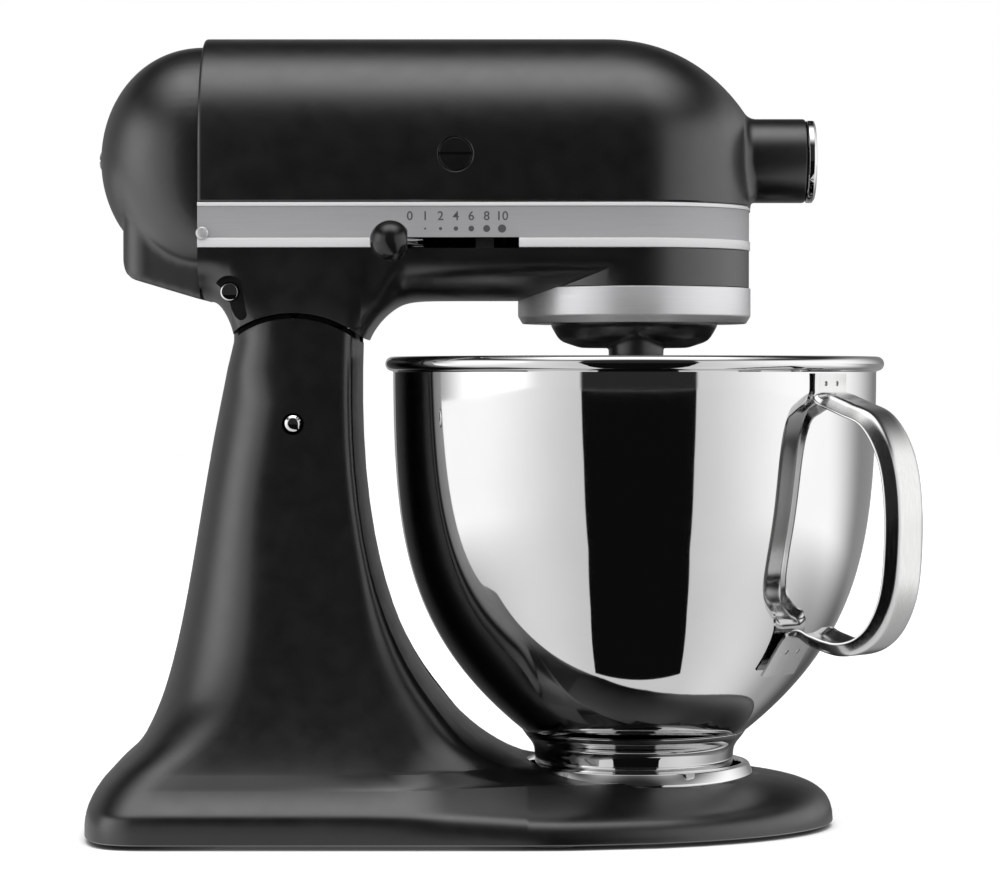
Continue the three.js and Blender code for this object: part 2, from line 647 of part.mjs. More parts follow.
function speedLever() {
  const [kx, ky] = SPEED_KNOB;
  const inner = -(headHalf(LEVER_X) - skirtInset - CASTING_WALL - 1);
  return prism('z', [
    [LEVER_X, inner + 4], [-110, inner + 4], [-110, inner + 1], [LEVER_X, inner], [LEVER_X, -53.5],
    [kx - 2.6, ky + 3], [kx + 2.6, ky + 1], [LEVER_X + LEVER_W, -55.5], [LEVER_X + LEVER_W, inner + 4],
  ], LEVER_LOW, LEVER_HIGH);
}

function speedKnob() {
  const [kx, ky] = SPEED_KNOB;
  const middle = (LEVER_LOW + LEVER_HIGH) / 2;
  return cut(
    ball(SPEED_KNOB_R, [kx, ky, middle], 14),
    box(kx - 10, kx + 10, ky + 1 - 0.2, ky + 10, LEVER_LOW - GAP, LEVER_HIGH + GAP),
    box(kx + SPEED_KNOB_FLAT, kx + 10, ky - 10, ky + 10, middle - 10, middle + 10),
  );
}

// ---- brushes ----
const BRUSH_X = -21.7;
const BRUSH_CAP_R = 7.3;
const COMMUTATOR_R = 10;

function brushCap(side) {
  const face = headHalf(BRUSH_X) - 0.4;
  const cap = rod('y', BRUSH_CAP_R, ...(side < 0 ? [-face, -face + 3.6] : [face - 3.6, face]),
    [BRUSH_X, DRIVE_Z], SMALL_ROUND);
  const slot = side < 0 ? [-face - 1, -face + 1.2] : [face - 1.2, face + 1];
  return cut(cap, box(BRUSH_X - 9, BRUSH_X + 9, slot[0], slot[1], DRIVE_Z - 0.7, DRIVE_Z + 0.7));
}

function brushHolder(side) {
  const outer = headHalf(BRUSH_X) - 0.4 - 3.6 - GAP;
  const span = side < 0 ? [-outer, -16] : [16, outer];
  return cut(
    rod('y', BRUSH_CAP_R, ...span, [BRUSH_X, DRIVE_Z], 16),
    rod('y', 4.2, span[0] - 1, span[1] + 1, [BRUSH_X, DRIVE_Z], 16),
  );
}

function brush(side) {
  const tip = COMMUTATOR_R + 0.4;
  return rod('y', 3.9, ...(side < 0 ? [-34, -tip] : [tip, 34]), [BRUSH_X, DRIVE_Z], 12);
}

// ---- motor ----
const CORE_FROM = -86;
const CORE_TO = -42;
const CORE_R = 24;
const FIELD_R = 44.8;
const ARMATURE_SHAFT_R = 4;
const REAR_BEARING = [-124, -115];
const FRONT_BEARING = [-9, -2];

function motorField() {
  return turned('x', [
    [CORE_R + 1, CORE_FROM], [FIELD_R, CORE_FROM], [FIELD_R, CORE_TO], [CORE_R + 1, CORE_TO],
  ], [0, DRIVE_Z], ROUND);
}

function armatureCore() {
  return turned('x', [
    [ARMATURE_SHAFT_R + GAP, CORE_FROM], [CORE_R - 3, CORE_FROM - 5], [CORE_R - 2, CORE_FROM],
    [CORE_R, CORE_FROM], [CORE_R, CORE_TO], [CORE_R - 2, CORE_TO], [CORE_R - 4, CORE_TO + 5],
    [COMMUTATOR_R, BRUSH_X - 9], [COMMUTATOR_R, BRUSH_X + 8], [ARMATURE_SHAFT_R + GAP, BRUSH_X + 8],
  ], [0, DRIVE_Z], SMALL_ROUND);
}

function fan() {
  const hub = turned('x', [
    [ARMATURE_SHAFT_R + GAP, -108], [29, -108], [29, -106.4], [9, -104], [9, -95],
    [ARMATURE_SHAFT_R + GAP, -95],
  ], [0, DRIVE_Z], SMALL_ROUND);
  const blades = Array.from({ length: 8 }, (_, i) => {
    const blade = new THREE.BoxGeometry(10, 1.2, 20);
    blade.rotateX(0.5).translate(-102, 0, 18).rotateX(2 * Math.PI * i / 8);
    return solid(blade.translate(0, 0, DRIVE_Z));
  });
  return join(hub, ...blades);
}

function worm() {
  const length = 24;
  const steps = 28;
  const sides = 10;
  const lead = WORM_STARTS * Math.PI * WORM_MODULE;
  const start = WHEEL_X - length / 2;
  const rings = [];
  for (let i = 0; i <= steps; i += 1) {
    const x = start + length * i / steps;
    rings.push(Array.from({ length: sides }, (_, j) => {
      const angle = 2 * Math.PI * j / sides;
      const phase = WORM_STARTS * ((x - WHEEL_X) / lead - j / sides);
      const wave = Math.cos(2 * Math.PI * phase);
      const thread = Math.max(-1, Math.min(1, 1.6 * (wave - 0.35)));
      const radius = WORM_R - 0.15 + 0.95 * thread;
      return [x, radius * Math.cos(angle), DRIVE_Z + radius * Math.sin(angle)];
    }));
  }
  return loft(rings, 'x');
}

function armatureShaft() {
  return join(
    rod('x', ARMATURE_SHAFT_R, REAR_BEARING[0] + GAP, WHEEL_X + 22, [0, DRIVE_Z], SMALL_ROUND),
    worm(),
  );
}

function bush(axis, inner, outer, from, to, centre) {
  return turned(axis, [[inner, from], [outer, from], [outer, to], [inner, to]], centre, SMALL_ROUND);
}

// Carries the rear bearing of the armature inside the end of the housing.
function rearBracket() {
  const [from, to] = [REAR_BEARING[0] + 2, REAR_BEARING[1] - 2];
  const half = HEAD_REAR_HALF - CASTING_WALL - GAP;
  const arm = box(from, to, -half, half, DRIVE_Z - 7, DRIVE_Z + 7);
  const cup = rod('x', 14, REAR_BEARING[0] - 3, to, [0, DRIVE_Z]);
  return cut(
    join(arm, cup),
    rod('x', 9 + GAP, REAR_BEARING[0] - GAP, to + 1, [0, DRIVE_Z]),
    rod('x', 1.9 + GAP, REAR_BEARING[0] - 5, REAR_BEARING[0] + 1, [0, DRIVE_Z]),
  );
}

// Carries the front bearing, the pinion shaft and the upper end of the centre shaft.
const DECK_LOW = 274.5;
const DECK_HIGH = 279;

function gearBracket() {
  const outline = mirrorHalf([[-14, 0], [-14, 40], [20, 40], [62, 14], [72, 8], [72, 0]]);
  const deck = prism('z', outline, DECK_LOW, DECK_HIGH);
  const legs = [-1, 1].map((side) => box(-13, -5, side < 0 ? -36.5 : 30.5, side < 0 ? -30.5 : 36.5,
    DRIP_TOP + 4 + GAP, DECK_LOW + 1));
  const lug = box(FRONT_BEARING[0], FRONT_BEARING[1], -13, 13, DECK_HIGH - 1, DRIVE_Z + 14);
  return cut(
    join(deck, ...legs, lug),
    rod('x', 8 + GAP, -20, 5, [0, DRIVE_Z]),
    rod('z', 8 + GAP, 260, 290, [BOWL_X, 0]),
    rod('z', 4 + GAP, 260, 290, [WHEEL_X, WHEEL_Y]),
  );
}

// ---- gears ----
function gearOutline(teeth, module, root, tip, share, phase = 0) {
  const pitch = 2 * Math.PI / teeth;
  const radius = module * teeth / 2;
  const points = [];
  for (let i = 0; i < teeth; i += 1) {
    const middle = (i + phase) * pitch;
    const wide = pitch * (share / 2 + 0.07);
    const narrow = pitch * (share / 2 - 0.09);
    [[radius + root, -wide], [radius + tip, -narrow], [radius + tip, narrow], [radius + root, wide]]
      .forEach(([r, offset]) => points.push([r * Math.cos(middle + offset), r * Math.sin(middle + offset)]));
  }
  return points;
}

const shifted = (points, [x, y]) => points.map(([a, b]) => [a + x, b + y]);

// The phase that puts a tooth gap of one gear on a tooth of the other at rest.
function meshPhase(teeth, angle, gap) {
  return teeth * angle / (2 * Math.PI) + (gap ? 0.5 : 0);
}

const GEAR_LOW = 262;
const GEAR_HIGH = 270.5;
const toWheel = Math.atan2(WHEEL_Y, WHEEL_X - BOWL_X);
const TOOTH_TIP = 1.4;
const TOOTH_ROOT = -1.9;
const TOOTH_SHARE = 0.4;

function centerGear() {
  const teeth = gearOutline(CENTER_TEETH, MODULE, TOOTH_ROOT, TOOTH_TIP, TOOTH_SHARE,
    meshPhase(CENTER_TEETH, toWheel, false));
  return cut(
    join(prism('z', shifted(teeth, [BOWL_X, 0]), GEAR_LOW, GEAR_HIGH),
      rod('z', 10, GEAR_LOW - 4, GEAR_HIGH, [BOWL_X, 0])),
    rod('z', SHAFT_R + GAP, 240, 290, [BOWL_X, 0]),
  );
}

function pinionShaft() {
  const teeth = gearOutline(DRIVE_TEETH, MODULE, TOOTH_ROOT, TOOTH_TIP, TOOTH_SHARE,
    meshPhase(DRIVE_TEETH, toWheel + Math.PI, true));
  return join(
    prism('z', shifted(teeth, [WHEEL_X, WHEEL_Y]), GEAR_LOW, GEAR_HIGH),
    rod('z', 4, DRIP_TOP + 7.5, DRIVE_Z + 6, [WHEEL_X, WHEEL_Y]),
  );
}

function wormWheel() {
  const toWorm = -Math.PI / 2;
  const half = 3.2;
  const lead = Math.atan(WORM_STARTS * WORM_MODULE / (2 * WORM_R));
  const rings = [-1, 0, 1].map((level) => {
    const lean = half * level * Math.tan(lead) / WHEEL_R;
    const phase = meshPhase(WHEEL_TEETH, toWorm - lean, true);
    const outline = gearOutline(WHEEL_TEETH, WORM_MODULE, -1.3, 0.65, 0.29, phase);
    return shifted(outline, [WHEEL_X, WHEEL_Y]).map(([x, y]) => [x, y, DRIVE_Z + half * level]);
  });
  return cut(loft(rings, 'z'), rod('z', 4 + GAP, 280, 320, [WHEEL_X, WHEEL_Y]));
}

// A bevel gear on +Z whose pitch cone comes to a point on the drive axis.
function bevel(gap) {
  const outer = gearOutline(BEVEL_TEETH, 1.75, -1.6, 1.1, 0.38, gap ? 0.5 : 0);
  const ring = (scale) => outer.map(([x, y]) => [x * scale, y * scale, -BEVEL_R * scale]);
  return [ring(1), ring(0.62)];
}

const bevelPhase = BEVEL_TEETH / 4;

function centerShaft() {
  const rings = bevel(bevelPhase % 1 !== 0)
    .map((ring) => ring.map(([x, y, z]) => [x + BOWL_X, y, z + DRIVE_Z]));
  return join(
    rod('z', SHAFT_R, PLANET_LOW + 4, DRIVE_Z - BEVEL_R + 2, [BOWL_X, 0]),
    rod('z', 9, DECK_HIGH + GAP + 0.2, DRIVE_Z - BEVEL_R + 0.5, [BOWL_X, 0]),
    loft(rings, 'z'),
  );
}

const HUB_SHAFT_R = 7.5;
const SOCKET = 4.2;

function hubGear() {
  const rings = bevel(true).map((ring) => ring.map(([x, y, z]) => [BOWL_X - z, y, x + DRIVE_Z]));
  return cut(
    join(
      loft(rings, 'x'),
      rod('x', HUB_SHAFT_R, BOWL_X + BEVEL_R - 1, HUB_FACE - 6, [0, DRIVE_Z]),
    ),
    box(HUB_FACE - 24, HUB_FACE, -SOCKET, SOCKET, DRIVE_Z - SOCKET, DRIVE_Z + SOCKET),
  );
}

function ringGear() {
  const teeth = gearOutline(RING_TEETH, MODULE, -TOOTH_ROOT, -TOOTH_TIP, TOOTH_SHARE,
    meshPhase(RING_TEETH, -Math.PI / 2, false));
  const disc = circle(46, [0, 0], 24);
  return prism('z', shifted(disc, [BOWL_X, 0]), DRIP_LOW + 4, DRIP_TOP, [shifted(teeth, [BOWL_X, 0]).reverse()]);
}

function dripRing() {
  return turned('z', [
    [HEAD_R - 3, DRIP_LOW], [HEAD_R - 1.6, DRIP_LOW], [HEAD_R, DRIP_LOW + 2.4], [HEAD_R, DRIP_TOP],
    [46 + GAP, DRIP_TOP], [46 + GAP, DRIP_TOP - 2.4],
    [HEAD_R - 3, DRIP_TOP - 2.4],
  ], [BOWL_X, 0], 40);
}

const beaterAt = [BOWL_X, -SUN_TO_PLANET];

function planetary() {
  const dome = turned('z', [
    [0, PLANET_LOW], [24, PLANET_LOW], [30, PLANET_LOW + 1.2], [34.5, PLANET_LOW + 4],
    [PLANET_R, PLANET_LOW + 9], [PLANET_R, PLANET_TOP], [0, PLANET_TOP],
  ], [BOWL_X, 0]);
  const boss = turned('z', [
    [0, PLANET_LOW - 7.5], [12, PLANET_LOW - 7.5], [12.2, PLANET_LOW - 3], [15.5, PLANET_LOW + 0.5],
    [0, PLANET_LOW + 2],
  ], beaterAt, SMALL_ROUND);
  return cut(
    join(dome, boss),
    rod('z', SHAFT_R + GAP, 200, 240, [BOWL_X, 0]),
    rod('z', BEATER_SHAFT_R + GAP, 190, 240, beaterAt),
  );
}

function beaterShaft() {
  const teeth = gearOutline(PINION_TEETH, MODULE, TOOTH_ROOT, TOOTH_TIP, TOOTH_SHARE,
    meshPhase(PINION_TEETH, -Math.PI / 2, true));
  const bottom = PLANET_LOW - 24;
  return join(
    rod('z', BEATER_SHAFT_R, bottom, PLANET_TOP + 3, beaterAt),
    prism('z', shifted(teeth, beaterAt), DRIP_LOW + 4.3, DRIP_TOP - 3),
    rod('x', 1.6, BOWL_X - 8.6, BOWL_X + 8.6, [-SUN_TO_PLANET, bottom + 6], 10),
  );
}

// ---- flat beater ----
const BEATER_TOP = PLANET_LOW - 11;
const BEATER_LOW = 46;

function flatBeater() {
  const hub = cut(
    rod('z', 11, BEATER_TOP - 17, BEATER_TOP, beaterAt),
    rod('z', BEATER_SHAFT_R + GAP, BEATER_TOP - 40, BEATER_TOP + 1, beaterAt),
    box(BOWL_X - 9.2, BOWL_X + 9.2, beaterAt[1] - 2.2, beaterAt[1] + 2.2, BEATER_TOP - 12, BEATER_TOP - 2),
  );
  const half = 58;
  const frame = (inset) => {
    const points = [];
    const steps = 16;
    for (let i = 0; i <= steps; i += 1) {
      const angle = Math.PI + Math.PI * i / steps;
      points.push([BOWL_X + (half - inset) * Math.cos(angle), BEATER_LOW + inset
        + (72 - inset) * (1 + Math.sin(angle))]);
    }
    points.push([BOWL_X + half - 8 - inset, BEATER_TOP - 50]);
    points.push([BOWL_X + 9, BEATER_TOP - 17 + (inset ? -10 : 0)]);
    points.push([BOWL_X - 9, BEATER_TOP - 17 + (inset ? -10 : 0)]);
    points.push([BOWL_X - half + 8 + inset, BEATER_TOP - 50]);
    return points;
  };
  const y = beaterAt[1];
  const outer = prism('y', frame(0), y - 3.5, y + 3.5);
  const inner = prism('y', frame(8), y - 5, y + 5);
  const rungs = join(
    prism('y', [[BOWL_X - 3.5, 50], [BOWL_X + 3.5, 50], [BOWL_X + 3.5, 188], [BOWL_X - 3.5, 188]],
      y - 2.5, y + 2.5),
    ...[-1, 1].map((side) => prism('y', [
      [BOWL_X, 150], [BOWL_X, 142], [BOWL_X + side * 54, 116], [BOWL_X + side * 54, 124],
    ], y - 2.5, y + 2.5)),
  );
  const inside = outer.intersect(rungs);
  return join(cut(outer, inner), inside, hub);
}

// ---- bowl ----
const wallCurve = curve([[BOWL_FOOT_R + 0.6, BOWL_LOW + 2.2], [103.7, 86.9], [107.6, 130.8], [BOWL_R, 200]]);

function wallPoint(t, wall) {
  const point = wallCurve.getPoint(t);
  const tangent = wallCurve.getTangent(t);
  return [point.x - tangent.y * wall, point.y + tangent.x * wall];
}

function bowl() {
  const steps = 8;
  const outer = Array.from({ length: steps + 1 }, (_, i) => wallPoint(i / steps, 0));
  const inner = Array.from({ length: steps + 1 }, (_, i) => wallPoint(1 - i / steps, BOWL_WALL));
  const beadR = RIM_R - RIM_BEAD;
  const bead = [-85, -35, 15, 65, 115, 165].map((degrees) => {
    const angle = degrees * Math.PI / 180;
    return [beadR + RIM_BEAD * Math.cos(angle), RIM_Z + RIM_BEAD * Math.sin(angle)];
  });
  return turned('z', [
    [0, BOWL_LOW], [BOWL_FOOT_R - 8, BOWL_LOW], ...outer, ...bead,
    [BOWL_R - BOWL_WALL, RIM_Z - RIM_BEAD], ...inner, [BOWL_FOOT_R - 8, BOWL_LOW + BOWL_WALL],
    [0, BOWL_LOW + BOWL_WALL],
  ], [BOWL_X, 0], 36);
}

const FOOT_LOW = WELL_Z + PLATE_T + 1.6;
const FOOT_NECK_R = 44.6;

function bowlFoot() {
  const profile = curve([[BOWL_FOOT_R, BOWL_LOW + 1.7], [FOOT_NECK_R, BOWL_LOW - 4.4],
    [FOOT_NECK_R - 0.2, 31], [FOOT_NECK_R, FOOT_LOW]]);
  const steps = 5;
  const outer = Array.from({ length: steps + 1 }, (_, i) => profile.getPoint(1 - i / steps).toArray());
  const ring = turned('z', [
    ...outer, [BOWL_FOOT_R - 5.5, BOWL_LOW + 0.3], [BOWL_FOOT_R - 8, BOWL_LOW - GAP],
    [BOWL_FOOT_R - 8, BOWL_LOW - 2], [FOOT_NECK_R - FOOT_WALL - 0.6, BOWL_LOW - 4],
    [FOOT_NECK_R - FOOT_WALL, FOOT_LOW],
  ], [BOWL_X, 0], 36);
  const lugs = [0, 1, 2, 3].map((i) => sector(FOOT_NECK_R - 1, WELL_R - GAP - PLATE_T - GAP - 0.3,
    i * Math.PI / 2 + 0.55, 0.35, FOOT_LOW + 0.4, LIP_LOW - GAP));
  return join(ring, ...lugs);
}

// The handle in the plane through the bowl's axis: [radius, height] pairs, outside then inside.
function handle() {
  const wallAt = (z) => atHeight(wallCurve, z);
  const away = GAP + 0.25;
  const top = [[BOWL_R + away, 201.5], [BOWL_R + away, 194]];
  const low = [[wallAt(88) + away + 2.2, 88.6], [wallAt(73) + away + 0.4, 73]];
  const outside = HANDLE_REACH - HANDLE_T;
  const line = [
    top[0], top[1], [BOWL_R + 2.8, 192], [BOWL_R + 13, 188], [BOWL_R + 24, 183.4],
    [outside - 6, 172.6], [outside - 1.4, 158], [outside, 136],
    [outside - 2, 112], [outside - 8, 97], [outside - 17, 88.5],
    [outside - 29, 85.6], [outside - 42, 88.4], [outside - 51, 91.6], low[0], low[1],
  ];
  const stations = line.map(([r, z]) => new THREE.Vector3(r, z, 0));
  const spine = new THREE.CatmullRomCurve3(stations, false, 'centripetal');
  const samples = Array.from({ length: 41 }, (_, i) => {
    const point = spine.getPoint(i / 40);
    const tangent = spine.getTangent(i / 40);
    return { point, normal: [-tangent.y, tangent.x] };
  });
  const lifted = ({ point, normal }) => [point.x + normal[0] * HANDLE_T, point.y + normal[1] * HANDLE_T];
  const outer = samples.map(lifted);
  const inner = samples.map(({ point }) => [point.x, point.y]).reverse();
  const shape = new THREE.Shape([...outer, ...inner].map(([a, b]) => new THREE.Vector2(a, b)));
  const geometry = new THREE.ExtrudeGeometry(shape, { depth: HANDLE_WIDTH, bevelEnabled: false });
  geometry.translate(0, 0, -HANDLE_WIDTH / 2).rotateX(Math.PI / 2).rotateZ(HANDLE_ANGLE);
  return solid(geometry.translate(BOWL_X, 0, 0));
}

// ---- hub cover and attachment knob ----
const HINGE_X = HUB_FACE + 2.2;
const HINGE_Z = DRIVE_Z + HUB_R - 2.6;
const KNOB_X = 124;

function hubCover() {
  const back = HUB_FACE + GAP;
  const disc = turned('x', [
    [0, back], [HUB_R - 0.6, back], [HUB_R, back + 0.6], [HUB_R, back + 2.8], [HUB_R - 1.6, back + 3.8],
    [0, HUB_FACE + HUB_COVER_T],
  ], [0, DRIVE_Z], 24);
  return cut(
    join(cut(disc, box(HUB_FACE - 1, HUB_FACE + 9, -6.5, 6.5, HINGE_Z - 2.4, DRIVE_Z + 30)),
      box(HUB_FACE + 0.5, HINGE_X + 1.6, -3, 3, HINGE_Z - 4, HINGE_Z + 0.6),
      rod('y', 1.7, -3, 3, [HINGE_X, HINGE_Z], 16)),
    rod('y', 1, -10, 10, [HINGE_X, HINGE_Z], 12),
  );
}

function hubHingePin() {
  return rod('y', 0.8, -6, 6, [HINGE_X, HINGE_Z], 12);
}

function attachmentKnob() {
  const face = HUB_R + 0.6;
  const grip = circle(8.5, [KNOB_X, DRIVE_Z], 24).map(([x, z], i) => {
    const scale = i % 2 ? 1 : 0.94;
    return [KNOB_X + (x - KNOB_X) * scale, DRIVE_Z + (z - DRIVE_Z) * scale];
  });
  return join(
    rod('y', 3, HUB_BORE + 1, face + 2, [KNOB_X, DRIVE_Z], 16),
    rod('y', 6, face, face + 3, [KNOB_X, DRIVE_Z], 20),
    prism('y', grip, face + 3, face + 15),
  );
}

// ---- lock ----
function lockShaft() {
  const reach = COLUMN_TOP_R + 2 * GAP;
  const span = Math.hypot(LOCK_X - PIN_X, LOCK_Z - PIN_Z);
  const length = span - reach;
  const finger = new THREE.BoxGeometry(length, 7, 5);
  finger.translate(length / 2, 0, 0).rotateY(-lockAngle).translate(LOCK_X, 26, LOCK_Z);
  return join(
    rod('y', LOCK_R, -45, 55, [LOCK_X, LOCK_Z]),
    solid(finger),
  );
}

const LEVER_Y = 55 + GAP;

function lockLever() {
  return join(
    rod('y', 7, LEVER_Y, LEVER_Y + 4, [LOCK_X, LOCK_Z]),
    prism('y', [[LOCK_X, LOCK_Z - 4], [LOCK_X + LOCK_ARM, LOCK_Z - 3], [LOCK_X + LOCK_ARM, LOCK_Z + 3],
      [LOCK_X, LOCK_Z + 4]], LEVER_Y, LEVER_Y + 4),
  );
}

function lockKnob() {
  const centre = LOCK_X + LOCK_ARM + 2;
  return cut(
    ball(7, [centre, LEVER_Y + 2, LOCK_Z], 14),
    box(centre - 8, LOCK_X + LOCK_ARM + GAP, LEVER_Y - GAP, LEVER_Y + 4 + GAP, LOCK_Z - 3.5, LOCK_Z + 3.5),
  );
}

// ---- rear end cover ----
function coverSection(x, wall) {
  const depth = COVER_DEPTH - wall;
  const share = Math.min(1, Math.max(0, (HEAD_REAR - x) / depth));
  const scale = Math.max(0.04, Math.sqrt(1 - share ** 2.15));
  const half = (HEAD_REAR_HALF - COVER_STEP - wall) * scale;
  const high = (HEAD_TOP - COVER_STEP - 298 - wall) * scale;
  const steps = 20;
  return Array.from({ length: steps }, (_, i) => {
    const angle = 2 * Math.PI * i / steps;
    const low = Math.sin(angle) < 0;
    return [x, half * Math.cos(angle), 298 + (low ? (50 - wall) * scale : high) * Math.sin(angle)];
  });
}

function coverTail(wall) {
  const half = (x) => {
    const share = (x - TAIL_REAR) / (HEAD_REAR - TAIL_REAR);
    return 34 + (HEAD_REAR_HALF - COVER_STEP + 1 - 34) * share - wall;
  };
  const plan = mirrorHalf([[TAIL_REAR + wall, 0], [TAIL_REAR + wall, half(TAIL_REAR) - 8],
    [TAIL_REAR + wall + 8, half(TAIL_REAR)], [HEAD_REAR, half(HEAD_REAR)], [HEAD_REAR, 0]]);
  const side = [
    [HEAD_REAR, 290], [TAIL_REAR + wall, 276], [TAIL_REAR + wall, TAIL_LOW + 16 + wall],
    [TAIL_REAR + 1.4 + wall, TAIL_LOW + 11.5 + wall], [TAIL_REAR + 5 + wall, TAIL_LOW + 8 + wall],
    [HEAD_REAR, TAIL_LOW - 0.5 + wall],
  ];
  return prism('z', plan, 200, 320).intersect(prism('y', side, -70, 70));
}

const COVER_FACE = HEAD_REAR - GAP;

function endCover() {
  const stations = (wall) => [0, 0.35, 0.6, 0.8, 0.93, 0.985, 1]
    .map((share) => HEAD_REAR - share * (COVER_DEPTH - wall));
  const outer = join(loft(stations(0).map((x) => coverSection(x, 0)), 'x'), coverTail(0));
  const inner = join(loft(stations(COVER_WALL).map((x) => coverSection(x, COVER_WALL)), 'x'),
    coverTail(COVER_WALL));
  return cut(
    outer,
    inner,
    box(COVER_FACE, HEAD_REAR + 10, -90, 90, 200, 400),
    rod('x', 1.9 + GAP, -200, -150, [0, DRIVE_Z]),
    rod('x', 6 + GAP, -200, -160, [0, GLAND_Z], SMALL_ROUND),
  );
}

const GLAND_Z = 264;

function coverScrew() {
  const face = HEAD_REAR - COVER_DEPTH;
  return join(
    rod('x', 4, face - 1.9, face - GAP, [0, DRIVE_Z]),
    rod('x', 1.9, face - 1, REAR_BEARING[0] - 2 * GAP, [0, DRIVE_Z]),
  );
}

function cordGland() {
  return cut(
    join(
      rod('x', 6, TAIL_REAR - 0.6, TAIL_REAR + 10, [0, GLAND_Z]),
      rod('x', 7.5, TAIL_REAR + COVER_WALL + GAP, TAIL_REAR + COVER_WALL + 3, [0, GLAND_Z]),
    ),
    rod('x', 3.6, TAIL_REAR - 2, TAIL_REAR + 12, [0, GLAND_Z]),
  );
}

// ---- materials ----
const black = () => new THREE.MeshStandardMaterial({ color: 0x17181a, roughness: 0.45, metalness: 0.1 });
const plastic = () => new THREE.MeshStandardMaterial({ color: 0x1c1c1d, roughness: 0.4, metalness: 0 });
const rubber = () => new THREE.MeshStandardMaterial({ color: 0x2a2a2a, roughness: 0.9, metalness: 0 });
const silver = () => new THREE.MeshStandardMaterial({ color: 0xc9cacc, roughness: 0.3, metalness: 0.9 });
const polished = () => new THREE.MeshStandardMaterial({ color: 0xd9dadb, roughness: 0.08, metalness: 1 });
const steel = () => new THREE.MeshStandardMaterial({ color: 0x9c9ea0, roughness: 0.35, metalness: 0.9 });
const bronze = () => new THREE.MeshStandardMaterial({ color: 0xa77a45, roughness: 0.4, metalness: 0.9 });
const copper = () => new THREE.MeshStandardMaterial({ color: 0x8a4a2a, roughness: 0.5, metalness: 0.7 });
const carbon = () => new THREE.MeshStandardMaterial({ color: 0x2c2d2f, roughness: 0.7, metalness: 0.1 });

// ---- assembly ----
const mixer = new THREE.Group();

function place(name, shape, material) {
  const mesh = shape.getMesh();
  const geometry = new THREE.BufferGeometry();
  geometry.setAttribute('position', new THREE.Float32BufferAttribute(mesh.vertProperties, 3));
  geometry.setIndex(new THREE.Uint32BufferAttribute(mesh.triVerts, 1));
  geometry.computeVertexNormals();
  const piece = new THREE.Mesh(geometry, material);
  piece.name = name;
  mixer.add(piece);
}

place('pedestal', pedestal(), black());
footPlaces.forEach((at, i) => place(`foot_${i + 1}`, foot(at), rubber()));
place('bowl_clamp_plate', clampPlate(), polished());
screwPlaces.forEach((at, i) => place(`clamp_screw_${i + 1}`, clampScrew(at), steel()));
place('hinge_pin', hingePin(), polished());
place('beater_height_screw', heightScrew(), steel());

place('lower_housing', lowerHousing(), black());
place('housing_screw', underScrew(), steel());
place('upper_housing', upperHousing(), black());
place('trim_band', trimBand(), silver());
[-1, 1].forEach((side) => {
  const hand = side < 0 ? 'near' : 'far';
  place(`trim_screw_${hand}`, trimScrew(side), polished());
  place(`brush_cap_${hand}`, brushCap(side), plastic());
  place(`brush_holder_${hand}`, brushHolder(side), bronze());
  place(`brush_${hand}`, brush(side), carbon());
});
place('end_cover', endCover(), black());
place('end_cover_screw', coverScrew(), steel());
place('cord_gland', cordGland(), rubber());
place('motor_field', motorField(), steel());
place('rear_bracket', rearBracket(), steel());
place('rear_bearing', bush('x', ARMATURE_SHAFT_R + GAP, 9, ...REAR_BEARING, [0, DRIVE_Z]), bronze());
place('gear_bracket', gearBracket(), steel());
place('front_bearing', bush('x', ARMATURE_SHAFT_R + GAP, 8, ...FRONT_BEARING, [0, DRIVE_Z]), bronze());
place('upper_bushing', bush('z', SHAFT_R + GAP, 8, DECK_LOW - 2, DECK_HIGH, [BOWL_X, 0]), bronze());
place('lower_bushing', bush('z', SHAFT_R + GAP, 8, DRIP_TOP + GAP, DRIP_TOP + 15, [BOWL_X, 0]), bronze());
place('hub_bushing', bush('x', HUB_SHAFT_R + GAP, HUB_BORE - GAP, 108, HUB_FACE - 14, [0, DRIVE_Z]), bronze());
place('drip_ring', dripRing(), silver());
place('ring_gear', ringGear(), steel());
place('hub_hinge_pin', hubHingePin(), steel());

place('armature_shaft', armatureShaft(), steel());
place('armature_core', armatureCore(), copper());
place('cooling_fan', fan(), plastic());
place('worm_wheel', wormWheel(), bronze());
place('pinion_shaft', pinionShaft(), steel());
place('center_gear', centerGear(), steel());
place('center_shaft', centerShaft(), steel());
place('planetary', planetary(), black());
place('beater_shaft', beaterShaft(), polished());
place('flat_beater', flatBeater(), silver());
place('hub_gear', hubGear(), steel());
place('hub_cover', hubCover(), polished());
place('attachment_knob', attachmentKnob(), plastic());
place('speed_lever', speedLever(), polished());
place('speed_knob', speedKnob(), plastic());
place('lock_shaft', lockShaft(), polished());
place('lock_lever', lockLever(), steel());
place('lock_knob', lockKnob(), plastic());
place('bowl', bowl(), polished());
place('bowl_foot', bowlFoot(), polished());
place('bowl_handle', handle(), steel());

mixer.position.x = CENTRE_SHIFT;

export default mixer;
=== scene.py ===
import json
from collections import namedtuple
from math import atan2, copysign, cos, exp, hypot, log, pi, radians, sin, sqrt, tan, tau

